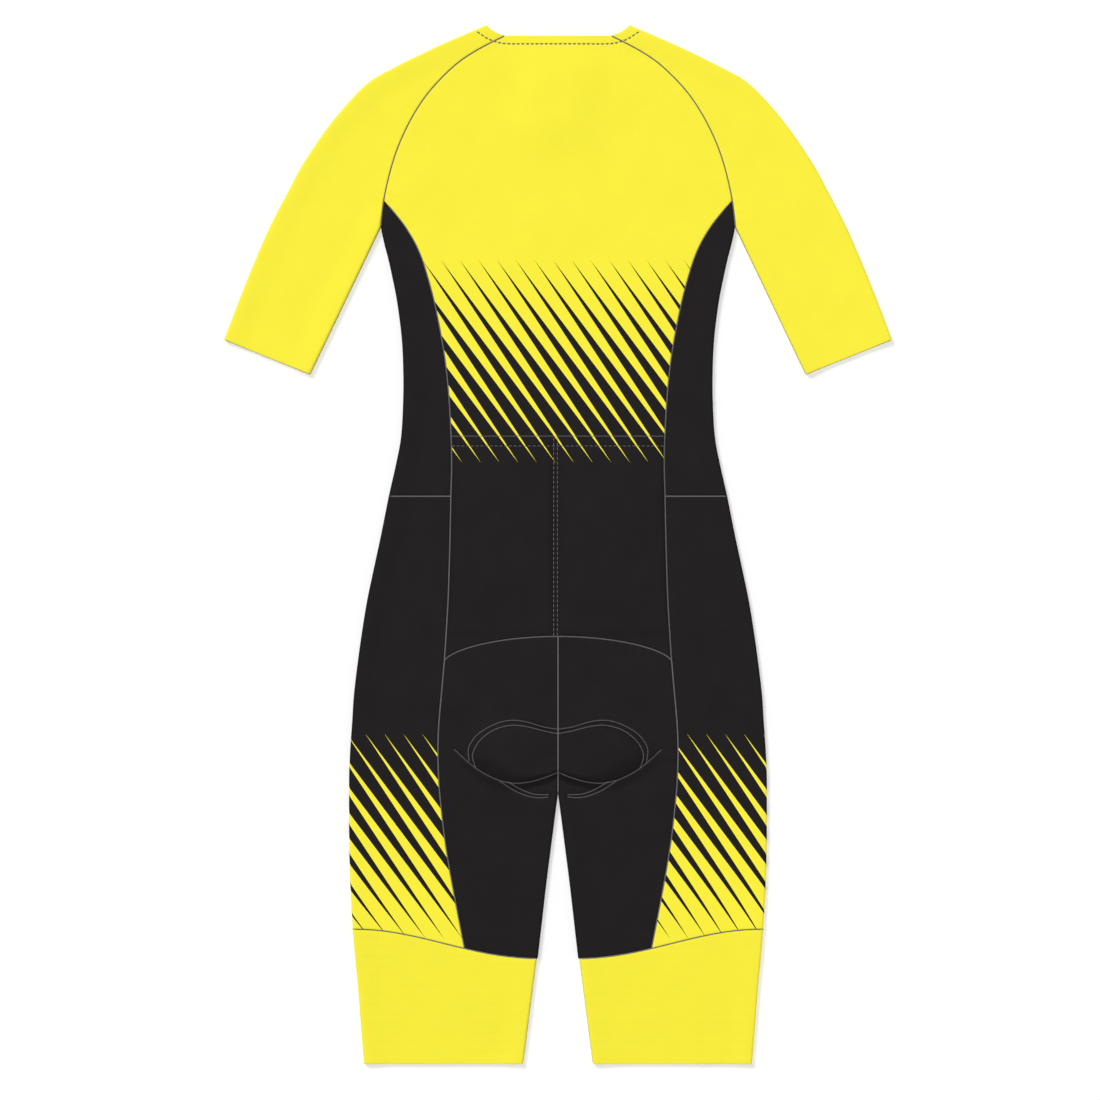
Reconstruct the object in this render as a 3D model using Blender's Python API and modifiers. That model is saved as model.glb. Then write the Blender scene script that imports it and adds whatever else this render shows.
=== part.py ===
"""Cycling skinsuit, laid flat on its front with its back upwards.

Metres, +Z up. +Y runs from the leg hems to the neck, X = 0 is the centre line, and the origin is in the
middle of the footprint at the height of the surface. Left is the side at -X.
Sizes are in millimetres: "out" is measured from the centre line, and "down" from the neck points.
"""

import math

import bmesh
import bpy

MM = 0.001

# Cloth
WALL = 1.2
GAP = 0.3               # between two pieces at a seam
LAID = 3.6              # height of the back over the surface, two layers and the air between them
FOLD = 5.2              # height of the rolled folds, twice their radius
PUFF_REACH = 25.0       # how far a fold lifts the cloth beside it
ROLL = FOLD / 2
RIM_LEAN = 0.2          # how much nearer than its outer edge the inner edge of a rolled rim comes

# Neck, yoke, pocket and legs
LENGTH = 1080.6         # neck points to leg hems
NECK_HALF = 75.0
FRONT_NECK_DROP = 62.0
YOKE_DOWN = 662.0       # where the seat yoke seam meets the side seams
YOKE_RISE = 26.1        # how much higher it is at the centre
YOKE_ROUND = 0.62       # 0.5 for a quarter of an ellipse, less for a squarer curve
BACK_YOKE_FADE = 204.0  # over this length above the yoke seam the sections bend to follow it
SEAT_YOKE_FADE = 44.0   # and below it
POCKET_TOP = 427.0
POCKET_BULGE = 2.0      # most of each half over the back
POCKET_MOUTH_BULGE = 0.6    # share of it at the mouth
POCKET_FILL = 0.3       # share of its length at which it is all there
POCKET_EMPTY = 0.35     # share of its length in which it goes again, at the foot
WAIST_DOWN = 490.0      # seam between side and hip panels, and the foot of the zip
CROTCH_DOWN = 798.0
CROTCH_DIP = 26.0       # length over which the centre seams dip into the crotch
INSEAM_SLOPE = 0.129    # how fast the legs part
BAND_DOWN = 955.4       # seam over the leg band, at its middle
BAND_SLANT = 15.2       # how much lower and higher it is at its ends
BAND_FADE_FROM = 880.0
BAND_INNER = 22.4       # out to the ends of that seam
BAND_OUTER = 213.4
BAND_ROWS = (0.0, 0.35, 0.7, 1.0)

# Seat pad
PAD_DOWN = 757.0        # its middle
PAD_RISE = 5.6
PAD_CLEAR = 1.2         # under the seat, whose flat faces cut a little inside its curve
DOME_EDGE = 1.22        # share of the pad's reach at which the seat starts to rise over it
DOME_FADE = 0.55        # share of its reach in which it rises
PAD_ROUND = 28
PAD_LAYERS = 10

# Zip and slider, which lift the cloth round them
ZIP_HALF = 4.2
ZIP_END_SHARE = 0.03    # of the section below the waist, where the fronts close in under the zip
ZIP_STEPS = 6
LIFT = 3.0
LIFT_FLAT_HALF = 6.0
LIFT_FADE_OUT = 34.0
LIFT_FLAT_DOWN = 94.0
LIFT_FADE_DOWN = 132.0
BUMP_RISE = 3.3
BUMP_FLAT_HALF = 9.0
BUMP_FADE_OUT = 60.0
BUMP_DOWN = 76.0
BUMP_FLAT_LONG = 18.0
BUMP_FADE_LONG = 70.0
SLIDER_DOWN = 66.5      # middle of the slider, and the pull tab's axis
SLIDER_LONG = 9.0
SLIDER_HALF = 3.7
SLIDER_PLATE = 0.7
POST_LONG = 1.6
POST_HALF = 1.6
SINK = 0.2              # how far the slider's blocks run into each other
CROWN_HALF = 0.8
CROWN_LOW = 0.1
CROWN_BAR = 0.6
CROWN_REACH = 3.0       # from the axis to the outside of the crown's legs
CROWN_LEG = 0.8
TAB_AXIS_HIGH = 1.35
TAB_THICK = 0.7
TAB_LONG = 23.0
TAB_HALF = 2.5
EYE_HALF = 1.2
EYE_LONG = 3.7
EYE_RIM = 1.0           # beside the eye
EYE_NECK = 1.5          # beyond it, to the tab's full width
END_STEPS = 8

# One row for each section of the body, from the tip of the side panel to the top of the leg band
#   down, out to the side seam, out to the fold at the side
BODY = (
    (182.0, 181.3, 182.0),
    (195.5, 169.8, 183.0),
    (209.0, 159.3, 184.2),
    (226.0, 149.0, 181.0),
    (243.0, 141.5, 176.6),
    (262.0, 135.5, 172.4),
    (283.0, 129.8, 168.2),
    (304.0, 125.2, 165.1),
    (325.0, 121.2, 162.7),
    (350.0, 117.2, 161.3),
    (385.0, 113.6, 161.0),
    (427.0, 111.2, 163.2),
    (458.0, 110.6, 168.9),
    (490.0, 111.4, 176.1),
    (530.0, 112.2, 184.1),
    (570.0, 113.3, 192.7),
    (600.0, 114.4, 198.9),
    (632.0, 116.3, 204.1),
    (662.0, 118.3, 208.3),
    (690.0, 120.7, 211.7),
    (706.0, 122.2, 213.1),
    (720.0, 123.4, 213.9),
    (733.0, 124.3, 214.8),
    (747.0, 124.8, 215.8),
    (761.0, 124.9, 216.6),
    (775.0, 124.5, 217.2),
    (787.0, 124.0, 217.4),
    (798.0, 123.2, 217.4),
    (818.0, 121.2, 217.4),
    (845.0, 118.1, 217.3),
    (880.0, 112.6, 216.6),
    (920.0, 105.2, 214.8),
    (960.0, 97.4, 212.0),
)

# Out to the fold at the side of a leg band: down, out
BAND_SIDE = ((1000.0, 208.2), (1040.0, 205.1), (1080.6, 201.8))

# One row for each section of a sleeve beside the raglan seams, from the neckline to the armpit
#   back seam out, down; fold along the top of the arm out, down; front seam out, down
RAGLAN = (
    (55.0, 10.8, 75.0, 0.0, 62.0, 35.0),
    (84.4, 26.0, 106.9, 13.7, 80.0, 49.5),
    (107.4, 41.8, 135.5, 26.6, 98.0, 66.0),
    (131.3, 65.8, 169.0, 43.2, 119.0, 88.0),
    (148.2, 89.5, 196.8, 59.2, 136.5, 109.0),
    (162.8, 117.7, 221.7, 84.2, 154.0, 134.0),
    (173.1, 146.5, 242.8, 110.6, 170.0, 160.0),
    (181.3, 182.0, 265.3, 144.2, 181.3, 182.0),
    (184.2, 209.0, 279.6, 170.6, 184.2, 209.0),
)

# The same below the armpit, where the back meets the front at the underarm
#   underarm out, down; fold out, down
ARM = (
    (184.2, 209.0, 279.6, 170.6),
    (202.6, 247.5, 299.2, 208.4),
    (221.1, 286.0, 316.3, 247.5),
    (239.5, 324.5, 332.2, 287.1),
    (258.0, 363.0, 347.4, 327.0),
)

# Outline of the seat pad's right half: degrees above straight out, reach from its middle
PAD = (
    (-90.0, 21.0),
    (-56.0, 36.0),
    (-36.0, 56.6),
    (-25.0, 67.7),
    (-12.0, 82.0),
    (-5.0, 92.0),
    (2.0, 93.5),
    (14.7, 82.7),
    (24.3, 73.0),
    (37.7, 55.6),
    (61.4, 30.9),
    (90.0, 25.0),
)

# Shares of a width at which a piece has columns
ACROSS = (0.0, 0.08, 0.18, 0.3, 0.45, 0.62, 0.78, 0.9, 0.97, 1.0)
SIDE_ACROSS = (0.0, 0.3, 0.56, 0.8, 1.0)
SLEEVE_ACROSS = (0.0, 0.1, 0.25, 0.5, 0.75, 0.9, 1.0)
QUARTER = (0.0, 10.0, 35.0, 62.0)   # degrees round a fold from its outermost line
HALF_TURN = (60.0, 30.0, 0.0, -30.0, -60.0)
MOST_ROLL_SHARE = 0.4           # of the width of a narrow piece
RAGLAN_STEPS = 2
TIP_SHARE = 0.2                 # where the side panel's tip is cut off, as a share of its first row

# Colour, roughness and metallic value
YELLOW = ((0.945, 0.863, 0.051), 0.62, 0.0)
BLACK = ((0.017, 0.013, 0.014), 0.6, 0.0)
FOAM = ((0.10, 0.10, 0.11), 0.85, 0.0)
ZIP_BLACK = ((0.014, 0.014, 0.015), 0.45, 0.0)
ENAMEL = ((0.02, 0.02, 0.022), 0.32, 0.6)


# ---- curves and shapes ----

def smooth(share):
    """0 to 1 with level ends."""
    share = min(max(share, 0.0), 1.0)
    return share * share * (3 - 2 * share)


def between(first, second, share):
    return first + (second - first) * share


def read(table, value, column):
    """A column of a table at a value of its first column, in straight lines between rows."""
    for low, high in zip(table, table[1:]):
        if value <= high[0]:
            break
    share = (value - low[0]) / (high[0] - low[0])
    return between(low[column], high[column], max(share, 0.0))


def refine(table, steps):
    """The table with steps - 1 more rows between each two, on a smooth curve through them."""
    rows = []
    for index in range(len(table) - 1):
        before = table[max(index - 1, 0)]
        start, end = table[index], table[index + 1]
        after = table[min(index + 2, len(table) - 1)]
        for step in range(steps):
            t = step / steps
            rows.append(tuple(
                0.5 * (2 * b + (c - a) * t + (2 * a - 5 * b + 4 * c - d) * t * t
                       + (3 * b - a - 3 * c + d) * t ** 3)
                for a, b, c, d in zip(before, start, end, after)
            ))
    return rows + [table[-1]]


def beside(line, distance):
    """The points of an open line moved outwards by a distance, square to it."""
    moved = []
    for index, (out, down) in enumerate(line):
        normals = []
        for start, end in ((index - 1, index), (index, index + 1)):
            if start < 0 or end == len(line):
                continue
            run = (line[end][0] - line[start][0], line[end][1] - line[start][1])
            length = math.hypot(*run)
            normals.append((run[1] / length, -run[0] / length))
        mean = (sum(n[0] for n in normals) / len(normals), sum(n[1] for n in normals) / len(normals))
        scale = distance / (mean[0] ** 2 + mean[1] ** 2)
        moved.append((out + mean[0] * scale, down + mean[1] * scale))
    return moved


def inseam(down):
    """Out to the inner edge of a leg, or to the centre seam above the crotch."""
    return GAP / 2 + INSEAM_SLOPE * max(down - CROTCH_DOWN, 0.0)


def side(down):
    """Out to the fold at the side of the body or of a leg."""
    return read(SIDE_TABLE, down, 1)


def band(out):
    """Down to the seam over the leg band."""
    share = (out - BAND_INNER) / (BAND_OUTER - BAND_INNER)
    return BAND_DOWN + BAND_SLANT * math.cos(math.pi * share)


def band_shift(down, out):
    """How far the sections bend to end along that seam."""
    last = BODY[-1][0]
    share = (down - BAND_FADE_FROM) / (last - BAND_FADE_FROM)
    return (band(out) - last) * min(max(share, 0.0), 1.0)


def yoke_shift(down, share, reach):
    """How far the sections bend to lie along the yoke seam, at a share of the way to the side seam."""
    near = min(max(1 - abs(down - YOKE_DOWN) / reach, 0.0), 1.0)
    return -YOKE_RISE * max(1 - share ** 2, 0.0) ** YOKE_ROUND * near


def front_neck(out):
    """Down to the front neckline, a quarter of an ellipse."""
    return FRONT_NECK_DROP * math.sqrt(max(1 - (out / NECK_HALF) ** 2, 0.0))


# ---- heights ----

SIDE_TABLE = [(row[0], row[2]) for row in BODY] + list(BAND_SIDE)
PAD_OUTLINE = refine(PAD, 3)
BACK_LINE = [(row[0], row[1]) for row in refine(RAGLAN, RAGLAN_STEPS)]
FOLD_LINE = [(row[2], row[3]) for row in refine(RAGLAN, RAGLAN_STEPS) + list(ARM[1:])]
UNDERARM = [(row[0], row[1]) for row in ARM]
SIDE_LINE = [(row[2], row[0]) for row in BODY[2:]] + [(row[1], row[0]) for row in BAND_SIDE]
INNER_LINE = [(inseam(down), down) for down in (CROTCH_DOWN, LENGTH)]


def fold_distance(out, down):
    """How far a place is from the nearest folded edge."""
    nearest = math.inf
    for line in (FOLD_LINE, UNDERARM, SIDE_LINE, INNER_LINE):
        for (x0, y0), (x1, y1) in zip(line, line[1:]):
            run = (x1 - x0, y1 - y0)
            share = ((out - x0) * run[0] + (down - y0) * run[1]) / (run[0] ** 2 + run[1] ** 2)
            share = min(max(share, 0.0), 1.0)
            nearest = min(nearest, math.hypot(out - x0 - run[0] * share, down - y0 - run[1] * share))
    return nearest


def pad_reach(angle):
    """How far the seat pad reaches from its middle, in a direction in degrees above straight out."""
    return read(PAD_OUTLINE, angle, 1)


def pad_share(out, down):
    """0 in the middle of the seat pad and 1 on its outline."""
    rise = PAD_DOWN - down
    return math.hypot(out, rise) / pad_reach(math.degrees(math.atan2(rise, abs(out))))


def top(out, down):
    """Height of the outer face of the back."""
    out = abs(out)
    puff = smooth(1 - max(fold_distance(out, down) - ROLL, 0.0) / PUFF_REACH)
    pad = smooth((DOME_EDGE - pad_share(out, down)) / DOME_FADE)
    bump = smooth(1 - (out - BUMP_FLAT_HALF) / (BUMP_FADE_OUT - BUMP_FLAT_HALF))
    bump *= smooth(1 - (abs(down - BUMP_DOWN) - BUMP_FLAT_LONG) / (BUMP_FADE_LONG - BUMP_FLAT_LONG))
    return LAID + (FOLD - LAID) * puff + PAD_RISE * pad + BUMP_RISE * bump


def under(out, down):
    """Height of the outer face of the front, which rests on the surface but for the slider's lift."""
    lift = smooth((LIFT_FADE_OUT - abs(out)) / (LIFT_FADE_OUT - LIFT_FLAT_HALF))
    return LIFT * lift * smooth((LIFT_FADE_DOWN - down) / (LIFT_FADE_DOWN - LIFT_FLAT_DOWN))


# ---- rows of points: (out, down, height) ----

def fold_section(angle):
    """In from a fold's outermost line, and up from the surface, at degrees round it."""
    return ROLL * (1 - math.cos(math.radians(angle))), ROLL * (1 + math.sin(math.radians(angle)))


def rolled(edge, inward, height, dip, upper):
    """Points of a quarter fold, from its outermost line inwards. With no dip they lie flat."""
    middle = ROLL + (GAP / 2 + RIM_LEAN) * (1 if upper else -1)
    points = []
    for index, angle in enumerate(QUARTER):
        step = between(ROLL * index / len(QUARTER), fold_section(angle)[0], dip)
        out, down = edge[0] + inward[0] * step, edge[1] + inward[1] * step
        turned = dip * (1 - math.sin(math.radians(angle)))
        points.append((out, down, between(height(out, down), middle, turned)))
    return points


def strip(start, end, shares, height):
    """Points from start to end at these shares of the way."""
    places = [(between(start[0], end[0], share), between(start[1], end[1], share)) for share in shares]
    return [(out, down, height(out, down)) for out, down in places]


def body_row(down, outer, height, upper, bend):
    """From the centre or inner leg to the side seam. bend(share) shifts a point down."""
    inner = inseam(down)
    dip = smooth((down - CROTCH_DOWN) / CROTCH_DIP + 1)
    row = rolled((inner, down), (1.0, 0.0), height, dip, upper)
    row += strip((inner + ROLL, down), (outer, down), ACROSS, height)
    shifted = []
    for out, low, high in row:
        place = low + bend(min(out / outer, 1.0)) + band_shift(down, out)
        shifted.append((out, place, height(out, place) + high - height(out, low)))
    return shifted


def wrapped_row(seam, edge, dip, bend=lambda out: 0.0):
    """From the side seam at the back, round the fold at the side, to the side seam at the front."""
    halves = []
    for height, upper in ((top, True), (under, False)):
        roll = min(ROLL, MOST_ROLL_SHARE * (edge[0] - seam[0]))
        points = strip(seam, (edge[0] - roll, edge[1]), SIDE_ACROSS, height)
        points += rolled(edge, (-roll / ROLL, 0.0), height, dip, upper)[::-1]
        halves.append([(out, down + bend(out), high) for out, down, high in points])
    return halves[0] + halves[1][::-1]


def sleeve_row(back, fold, front, dip):
    """Back half from the inner edge to the fold along the top of the arm, then the front half back."""
    def inward(edge):
        run = (fold[0] - edge[0], fold[1] - edge[1])
        length = math.hypot(*run)
        return run[0] / length, run[1] / length

    halves = []
    for edge, height, upper in ((back, top, True), (front, under, False)):
        along = inward(edge)
        start = (edge[0] + along[0] * ROLL, edge[1] + along[1] * ROLL)
        end = (fold[0] - along[0] * ROLL, fold[1] - along[1] * ROLL)
        halves.append(rolled(edge, along, height, dip, upper) + strip(start, end, SLEEVE_ACROSS, height))
    first, last = inward(back), inward(front)
    turn = []
    for angle in HALF_TURN:
        share = (90.0 - angle) / 180.0
        along = (between(first[0], last[0], share), between(first[1], last[1], share))
        step, high = fold_section(angle)
        turn.append((fold[0] - along[0] * step, fold[1] - along[1] * step, high))
    return halves[0] + turn + halves[1][::-1]


# ---- objects ----

def material(name, finish):
    colour, roughness, metallic = finish
    made = bpy.data.materials.new(name)
    made.use_nodes = True
    shader = made.node_tree.nodes["Principled BSDF"]
    shader.inputs["Base Color"].default_value = (*colour, 1.0)
    shader.inputs["Roughness"].default_value = roughness
    shader.inputs["Metallic"].default_value = metallic
    return made


def new_object(name, data, finish):
    piece = bpy.data.objects.new(name, data)
    piece.data.materials.append(material(name, finish))
    suit.objects.link(piece)
    return piece


def place(out, down, high, hand):
    """Metres from millimetres out, down and up. hand is -1 on the left and 1 on the right."""
    return hand * out * MM, (LENGTH / 2 - down) * MM, high * MM


def cloth(name, rows, finish, hand=1, faces_up=True, open_quads=(), ring_from=None):
    """A wall of cloth whose outer face runs through rows of points.

    open_quads are (first row, end row, column) of quads left out, and a ring closes from a row on.
    """
    columns = len(rows[0])
    mesh = bmesh.new()
    bmesh.ops.create_grid(mesh, x_segments=columns - 1, y_segments=len(rows) - 1, size=1)
    mesh.verts.ensure_lookup_table()
    mesh.faces.ensure_lookup_table()
    for vertex, point in zip(mesh.verts, (point for row in rows for point in row)):
        vertex.co = place(*point, hand)
    if ring_from is not None:
        for row in range(ring_from, len(rows) - 1):
            first, end = row * columns, (row + 1) * columns
            corners = (first + columns - 1, first, end, end + columns - 1)
            mesh.faces.new([mesh.verts[corner] for corner in corners])
    left_out = [mesh.faces[row * (columns - 1) + column]
                for first, end, column in open_quads for row in range(first, end)]
    bmesh.ops.delete(mesh, geom=left_out, context="FACES_ONLY")
    mesh.normal_update()
    mesh.faces.ensure_lookup_table()
    if (mesh.faces[4].normal.z > 0) != faces_up:
        bmesh.ops.reverse_faces(mesh, faces=mesh.faces)
    data = bpy.data.meshes.new(name)
    mesh.to_mesh(data)
    mesh.free()
    piece = new_object(name, data, finish)
    wall = piece.modifiers.new("wall", "SOLIDIFY")
    wall.thickness = WALL * MM
    wall.offset = -1.0
    wall.use_even_offset = True
    return piece


def block(name, low, high):
    """A box between two corners, in millimetres (x, down, z)."""
    mesh = bmesh.new()
    bmesh.ops.create_cube(mesh, size=1)
    for vertex in mesh.verts:
        share = [0.5 + c for c in vertex.co]
        x, y, z = (between(low[i], high[i], share[i] if i != 1 else 1 - share[i]) for i in range(3))
        vertex.co = place(x, y, z, 1)
    data = bpy.data.meshes.new(name)
    mesh.to_mesh(data)
    mesh.free()
    return bpy.data.objects.new(name, data)


# ---- the suit ----

def mirrored(row):
    """A half row reflected over the centre line and joined to itself."""
    return [(-out, down, high) for out, down, high in reversed(row[1:])] + row


BODY_TIP = len(BACK_LINE) - RAGLAN_STEPS - 1      # raglan row at the side panel's tip
BODY_SEAM = [(row[1], row[0]) for row in BODY]
YOKE_ROW = [row[0] for row in BODY].index(YOKE_DOWN)
WAIST_ROW = [row[0] for row in BODY].index(WAIST_DOWN)
POCKET_ROW = [row[0] for row in BODY].index(POCKET_TOP)
ARMPIT_ROW = 2


def back_rows():
    """Rows of the back panel from the centre line outwards, neckline to yoke seam."""
    edge = beside(BACK_LINE[:BODY_TIP] + BODY_SEAM[:YOKE_ROW + 1], -GAP / 2)
    rows = []
    for index, (out, down) in enumerate(edge):
        end = GAP / 2 if index == len(edge) - 1 else 0.0
        places = [0.0] + [between(inseam(down) + ROLL, out, share) for share in ACROSS]
        lows = [down + yoke_shift(down, place_out / out, BACK_YOKE_FADE) - end for place_out in places]
        rows.append([(place_out, low, top(place_out, low)) for place_out, low in zip(places, lows)])
    return rows


def pocket_rows(rows):
    """The back's rows from the pocket's mouth down, moved out by its wall and a bulge in each half."""
    kept = rows[BODY_TIP + POCKET_ROW:]
    moved = []
    for row in kept:
        edge = row[-1][0]
        line = []
        for out, down, high in row:
            low = (down - POCKET_TOP) / (YOKE_DOWN - YOKE_RISE - POCKET_TOP)
            fullness = between(POCKET_MOUTH_BULGE, 1.0, smooth(low / POCKET_FILL))
            fullness *= smooth((1 - low) / POCKET_EMPTY)
            bulge = POCKET_BULGE * math.sin(math.pi * min(out / edge, 1.0)) * fullness
            line.append((out, down, high + GAP + WALL + bulge))
        moved.append(line)
    return moved


def add_back():
    rows = back_rows()
    cloth("back_panel", [mirrored(row) for row in rows], YELLOW)
    cloth("pocket_panel", [mirrored(row) for row in pocket_rows(rows)], BLACK)


def add_seat(name, hand):
    edge = beside(BODY_SEAM, -GAP / 2)
    rows = []
    for index in range(YOKE_ROW, len(BODY)):
        out, down = edge[index]
        start = GAP / 2 if index == YOKE_ROW else 0.0
        end = GAP / 2 if index == len(BODY) - 1 else 0.0
        row = body_row(down, out, top, True, lambda share: yoke_shift(down, share, SEAT_YOKE_FADE))
        rows.append([(o, d + start - end, h) for o, d, h in row])
    cloth("seat_" + name, rows, BLACK, hand)


def add_front(name, hand):
    """From the neckline to the leg band, beside the zip and then the centre seam."""
    raglan = [(row[4], row[5]) for row in refine(RAGLAN, RAGLAN_STEPS)][:BODY_TIP]
    edge = beside(raglan + BODY_SEAM, -GAP / 2)
    zip_edge = ZIP_HALF + GAP

    def places(inner, outer):
        near = [inner + ROLL * index / len(QUARTER) for index in range(len(QUARTER))]
        return near + [between(inner + ROLL, outer, share) for share in ACROSS]

    neck_places = places(zip_edge, edge[0][0])
    rows = []
    for out, down in edge[:BODY_TIP]:
        share = (BODY[0][0] - down) / (BODY[0][0] - edge[0][1])
        lows = [BODY[0][0] - (BODY[0][0] - front_neck(place_out)) * share for place_out in neck_places]
        rows.append([(o, low, under(o, low)) for o, low in zip(places(zip_edge, out), lows)])
    for out, down in edge[BODY_TIP:BODY_TIP + WAIST_ROW + 1]:
        rows.append([(o, down, under(o, down)) for o in places(zip_edge, out)])
    below_zip = edge[BODY_TIP + WAIST_ROW:]
    below_zip[0] = tuple(between(a, b, ZIP_END_SHARE) for a, b in zip(*below_zip[:2]))
    for out, down in below_zip:
        rows.append(body_row(down, out, under, False, lambda share: 0.0))
    rows[-1] = [(out, down - GAP / 2, high) for out, down, high in rows[-1]]
    cloth("front_" + name, rows, YELLOW, hand, faces_up=False)


def add_side(name, hand):
    """The side panel, whose first rows are two ears on each side of the armhole."""
    seam = beside(BODY_SEAM, GAP / 2)
    armhole = beside(BACK_LINE[BODY_TIP:], -GAP / 2)
    cut = [tuple(between(a, b, TIP_SHARE) for a, b in zip(line[0], line[1])) for line in (seam, armhole)]
    rows = [wrapped_row(cut[0], cut[1], 0.0)]
    for index in range(1, WAIST_ROW + 1):
        down = BODY[index][0]
        edge = armhole[index] if index <= ARMPIT_ROW else (side(down), down)
        dip = 0.0 if index < ARMPIT_ROW else 1.0
        rows.append(wrapped_row(seam[index], edge, dip))
    rows[-1] = [(out, down - GAP / 2, high) for out, down, high in rows[-1]]
    middle = len(SIDE_ACROSS) + len(QUARTER) - 1
    cloth("side_panel_" + name, rows, BLACK, hand, open_quads=[(0, ARMPIT_ROW, middle)])


def add_hip(name, hand):
    seam = beside(BODY_SEAM, GAP / 2)
    rows = []
    for index in range(WAIST_ROW, len(BODY)):
        down = seam[index][1]
        start = GAP / 2 if index == WAIST_ROW else 0.0
        end = GAP / 2 if index == len(BODY) - 1 else 0.0
        edge = side(down + band_shift(down, side(down)))
        row = wrapped_row(seam[index], (edge, down), 1.0, lambda out: band_shift(down, out))
        rows.append([(o, d + start - end, h) for o, d, h in row])
    cloth("hip_panel_" + name, rows, BLACK, hand)


def add_band(name, hand):
    """The ring below the leg, whose columns go on from the seat's and the hip's."""
    seam = BODY[-1][1]
    inner_top, outer_top = inseam(band(inseam(LENGTH))), side(band(side(BODY[-1][0])))
    begin, finish = inner_top + ROLL, outer_top - ROLL
    columns = [between(begin, seam, share) for share in ACROSS]
    columns += [between(seam, finish, share) for share in SIDE_ACROSS[1:]]
    rows = []
    for part in BAND_ROWS:
        def low(out):
            return between(band(out) + GAP / 2, LENGTH, part)
        inner, outer = inseam(low(inner_top)), side(low(outer_top))
        spread = (outer - inner - 2 * ROLL) / (finish - begin)
        places = [inner + ROLL + (column - begin) * spread for column in columns]
        halves = []
        for height, upper in ((top, True), (under, False)):
            row = rolled((inner, low(inner)), (1.0, 0.0), height, 1.0, upper)
            row = [(out, low(out), high) for out, _, high in row]
            halves.append(row + [(out, low(out), height(out, low(out))) for out in places])
        turn = []
        for angle in HALF_TURN:
            step, high = fold_section(angle)
            turn.append((outer - step, low(outer - step), high))
        rows.append(halves[0] + turn + halves[1][::-1])
    cloth("leg_band_" + name, rows, YELLOW, hand, ring_from=0)


def add_sleeve(name, hand):
    sections = refine(RAGLAN, RAGLAN_STEPS)
    back = beside([(row[0], row[1]) for row in sections], GAP / 2)
    front = beside([(row[4], row[5]) for row in sections], GAP / 2)
    armpit = len(sections) - 1
    rows = []
    for index, section in enumerate(sections):
        dip = 1.0 if index == armpit else 0.0
        rows.append(sleeve_row(back[index], (section[2], section[3]), front[index], dip))
    for row in ARM[1:]:
        rows.append(sleeve_row((row[0], row[1]), (row[2], row[3]), (row[0], row[1]), 1.0))
    cloth("sleeve_" + name, rows, YELLOW, hand, ring_from=armpit)


def add_pad():
    """A rounded solid between the seat and the front, with the seat's dome on top."""
    base = WALL + GAP
    mesh = bmesh.new()
    bmesh.ops.create_uvsphere(mesh, u_segments=PAD_ROUND, v_segments=PAD_LAYERS, radius=1.0)
    for vertex in mesh.verts:
        flat = math.hypot(vertex.co.x, vertex.co.y)
        angle = math.degrees(math.atan2(vertex.co.y, abs(vertex.co.x)))
        hand = 1 if vertex.co.x >= 0 else -1
        reach = flat * pad_reach(angle)
        out = reach * math.cos(math.radians(angle))
        down = PAD_DOWN - reach * math.sin(math.radians(angle))
        crown = math.copysign(abs(vertex.co.z) ** 0.5, vertex.co.z)
        high = between(base, top(out, down) - WALL - PAD_CLEAR, 0.5 + 0.5 * crown)
        vertex.co = place(out, down, high, hand)
    data = bpy.data.meshes.new("seat_pad")
    mesh.to_mesh(data)
    mesh.free()
    new_object("seat_pad", data, FOAM)


def add_zip():
    """The tape, from the slider's post to the waist."""
    start = SLIDER_DOWN - SLIDER_LONG / 2 + POST_LONG + GAP
    fade = [between(LIFT_FLAT_DOWN, LIFT_FADE_DOWN, step / ZIP_STEPS) for step in range(ZIP_STEPS + 1)]
    end = WAIST_DOWN - GAP
    downs = [start, between(start, fade[0], 0.5), *fade, between(fade[-1], end, 0.5), end]
    rows = [[(out, down, under(0.0, down)) for out in (-ZIP_HALF, 0.0, ZIP_HALF)] for down in downs]
    cloth("front_zip", rows, ZIP_BLACK, faces_up=False)


def add_slider():
    """Two plates and a post round the top of the zip, and a crown under them that holds the tab."""
    front, end = SLIDER_DOWN - SLIDER_LONG / 2, SLIDER_DOWN + SLIDER_LONG / 2
    outer = (LIFT - GAP - SLIDER_PLATE, LIFT - GAP)
    inner = (LIFT + WALL + GAP, LIFT + WALL + GAP + SLIDER_PLATE)
    crown = (SLIDER_DOWN - CROWN_REACH, SLIDER_DOWN + CROWN_REACH)
    plate = block("outer_plate", (-SLIDER_HALF, front, outer[0]), (SLIDER_HALF, end, outer[1]))
    joined = [
        block("inner_plate", (-SLIDER_HALF, front, inner[0]), (SLIDER_HALF, end, inner[1])),
        block("post", (-POST_HALF, front, outer[0] + SINK),
              (POST_HALF, front + POST_LONG, inner[1] - SINK)),
        block("crown", (-CROWN_HALF, crown[0], CROWN_LOW), (CROWN_HALF, crown[1], CROWN_LOW + CROWN_BAR)),
    ]
    for leg in (crown[0], crown[1] - CROWN_LEG):
        foot = (-CROWN_HALF, leg, CROWN_LOW + SINK)
        joined.append(block("crown_leg", foot, (CROWN_HALF, leg + CROWN_LEG, outer[0] + SINK)))
    slider = new_object("zip_slider", plate.data, ENAMEL)
    bpy.data.objects.remove(plate)
    for piece in joined:
        helpers.objects.link(piece)
        piece.hide_render = True
        piece.display_type = "WIRE"
        join = slider.modifiers.new(piece.name, "BOOLEAN")
        join.operation = "UNION"
        join.object = piece


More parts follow.
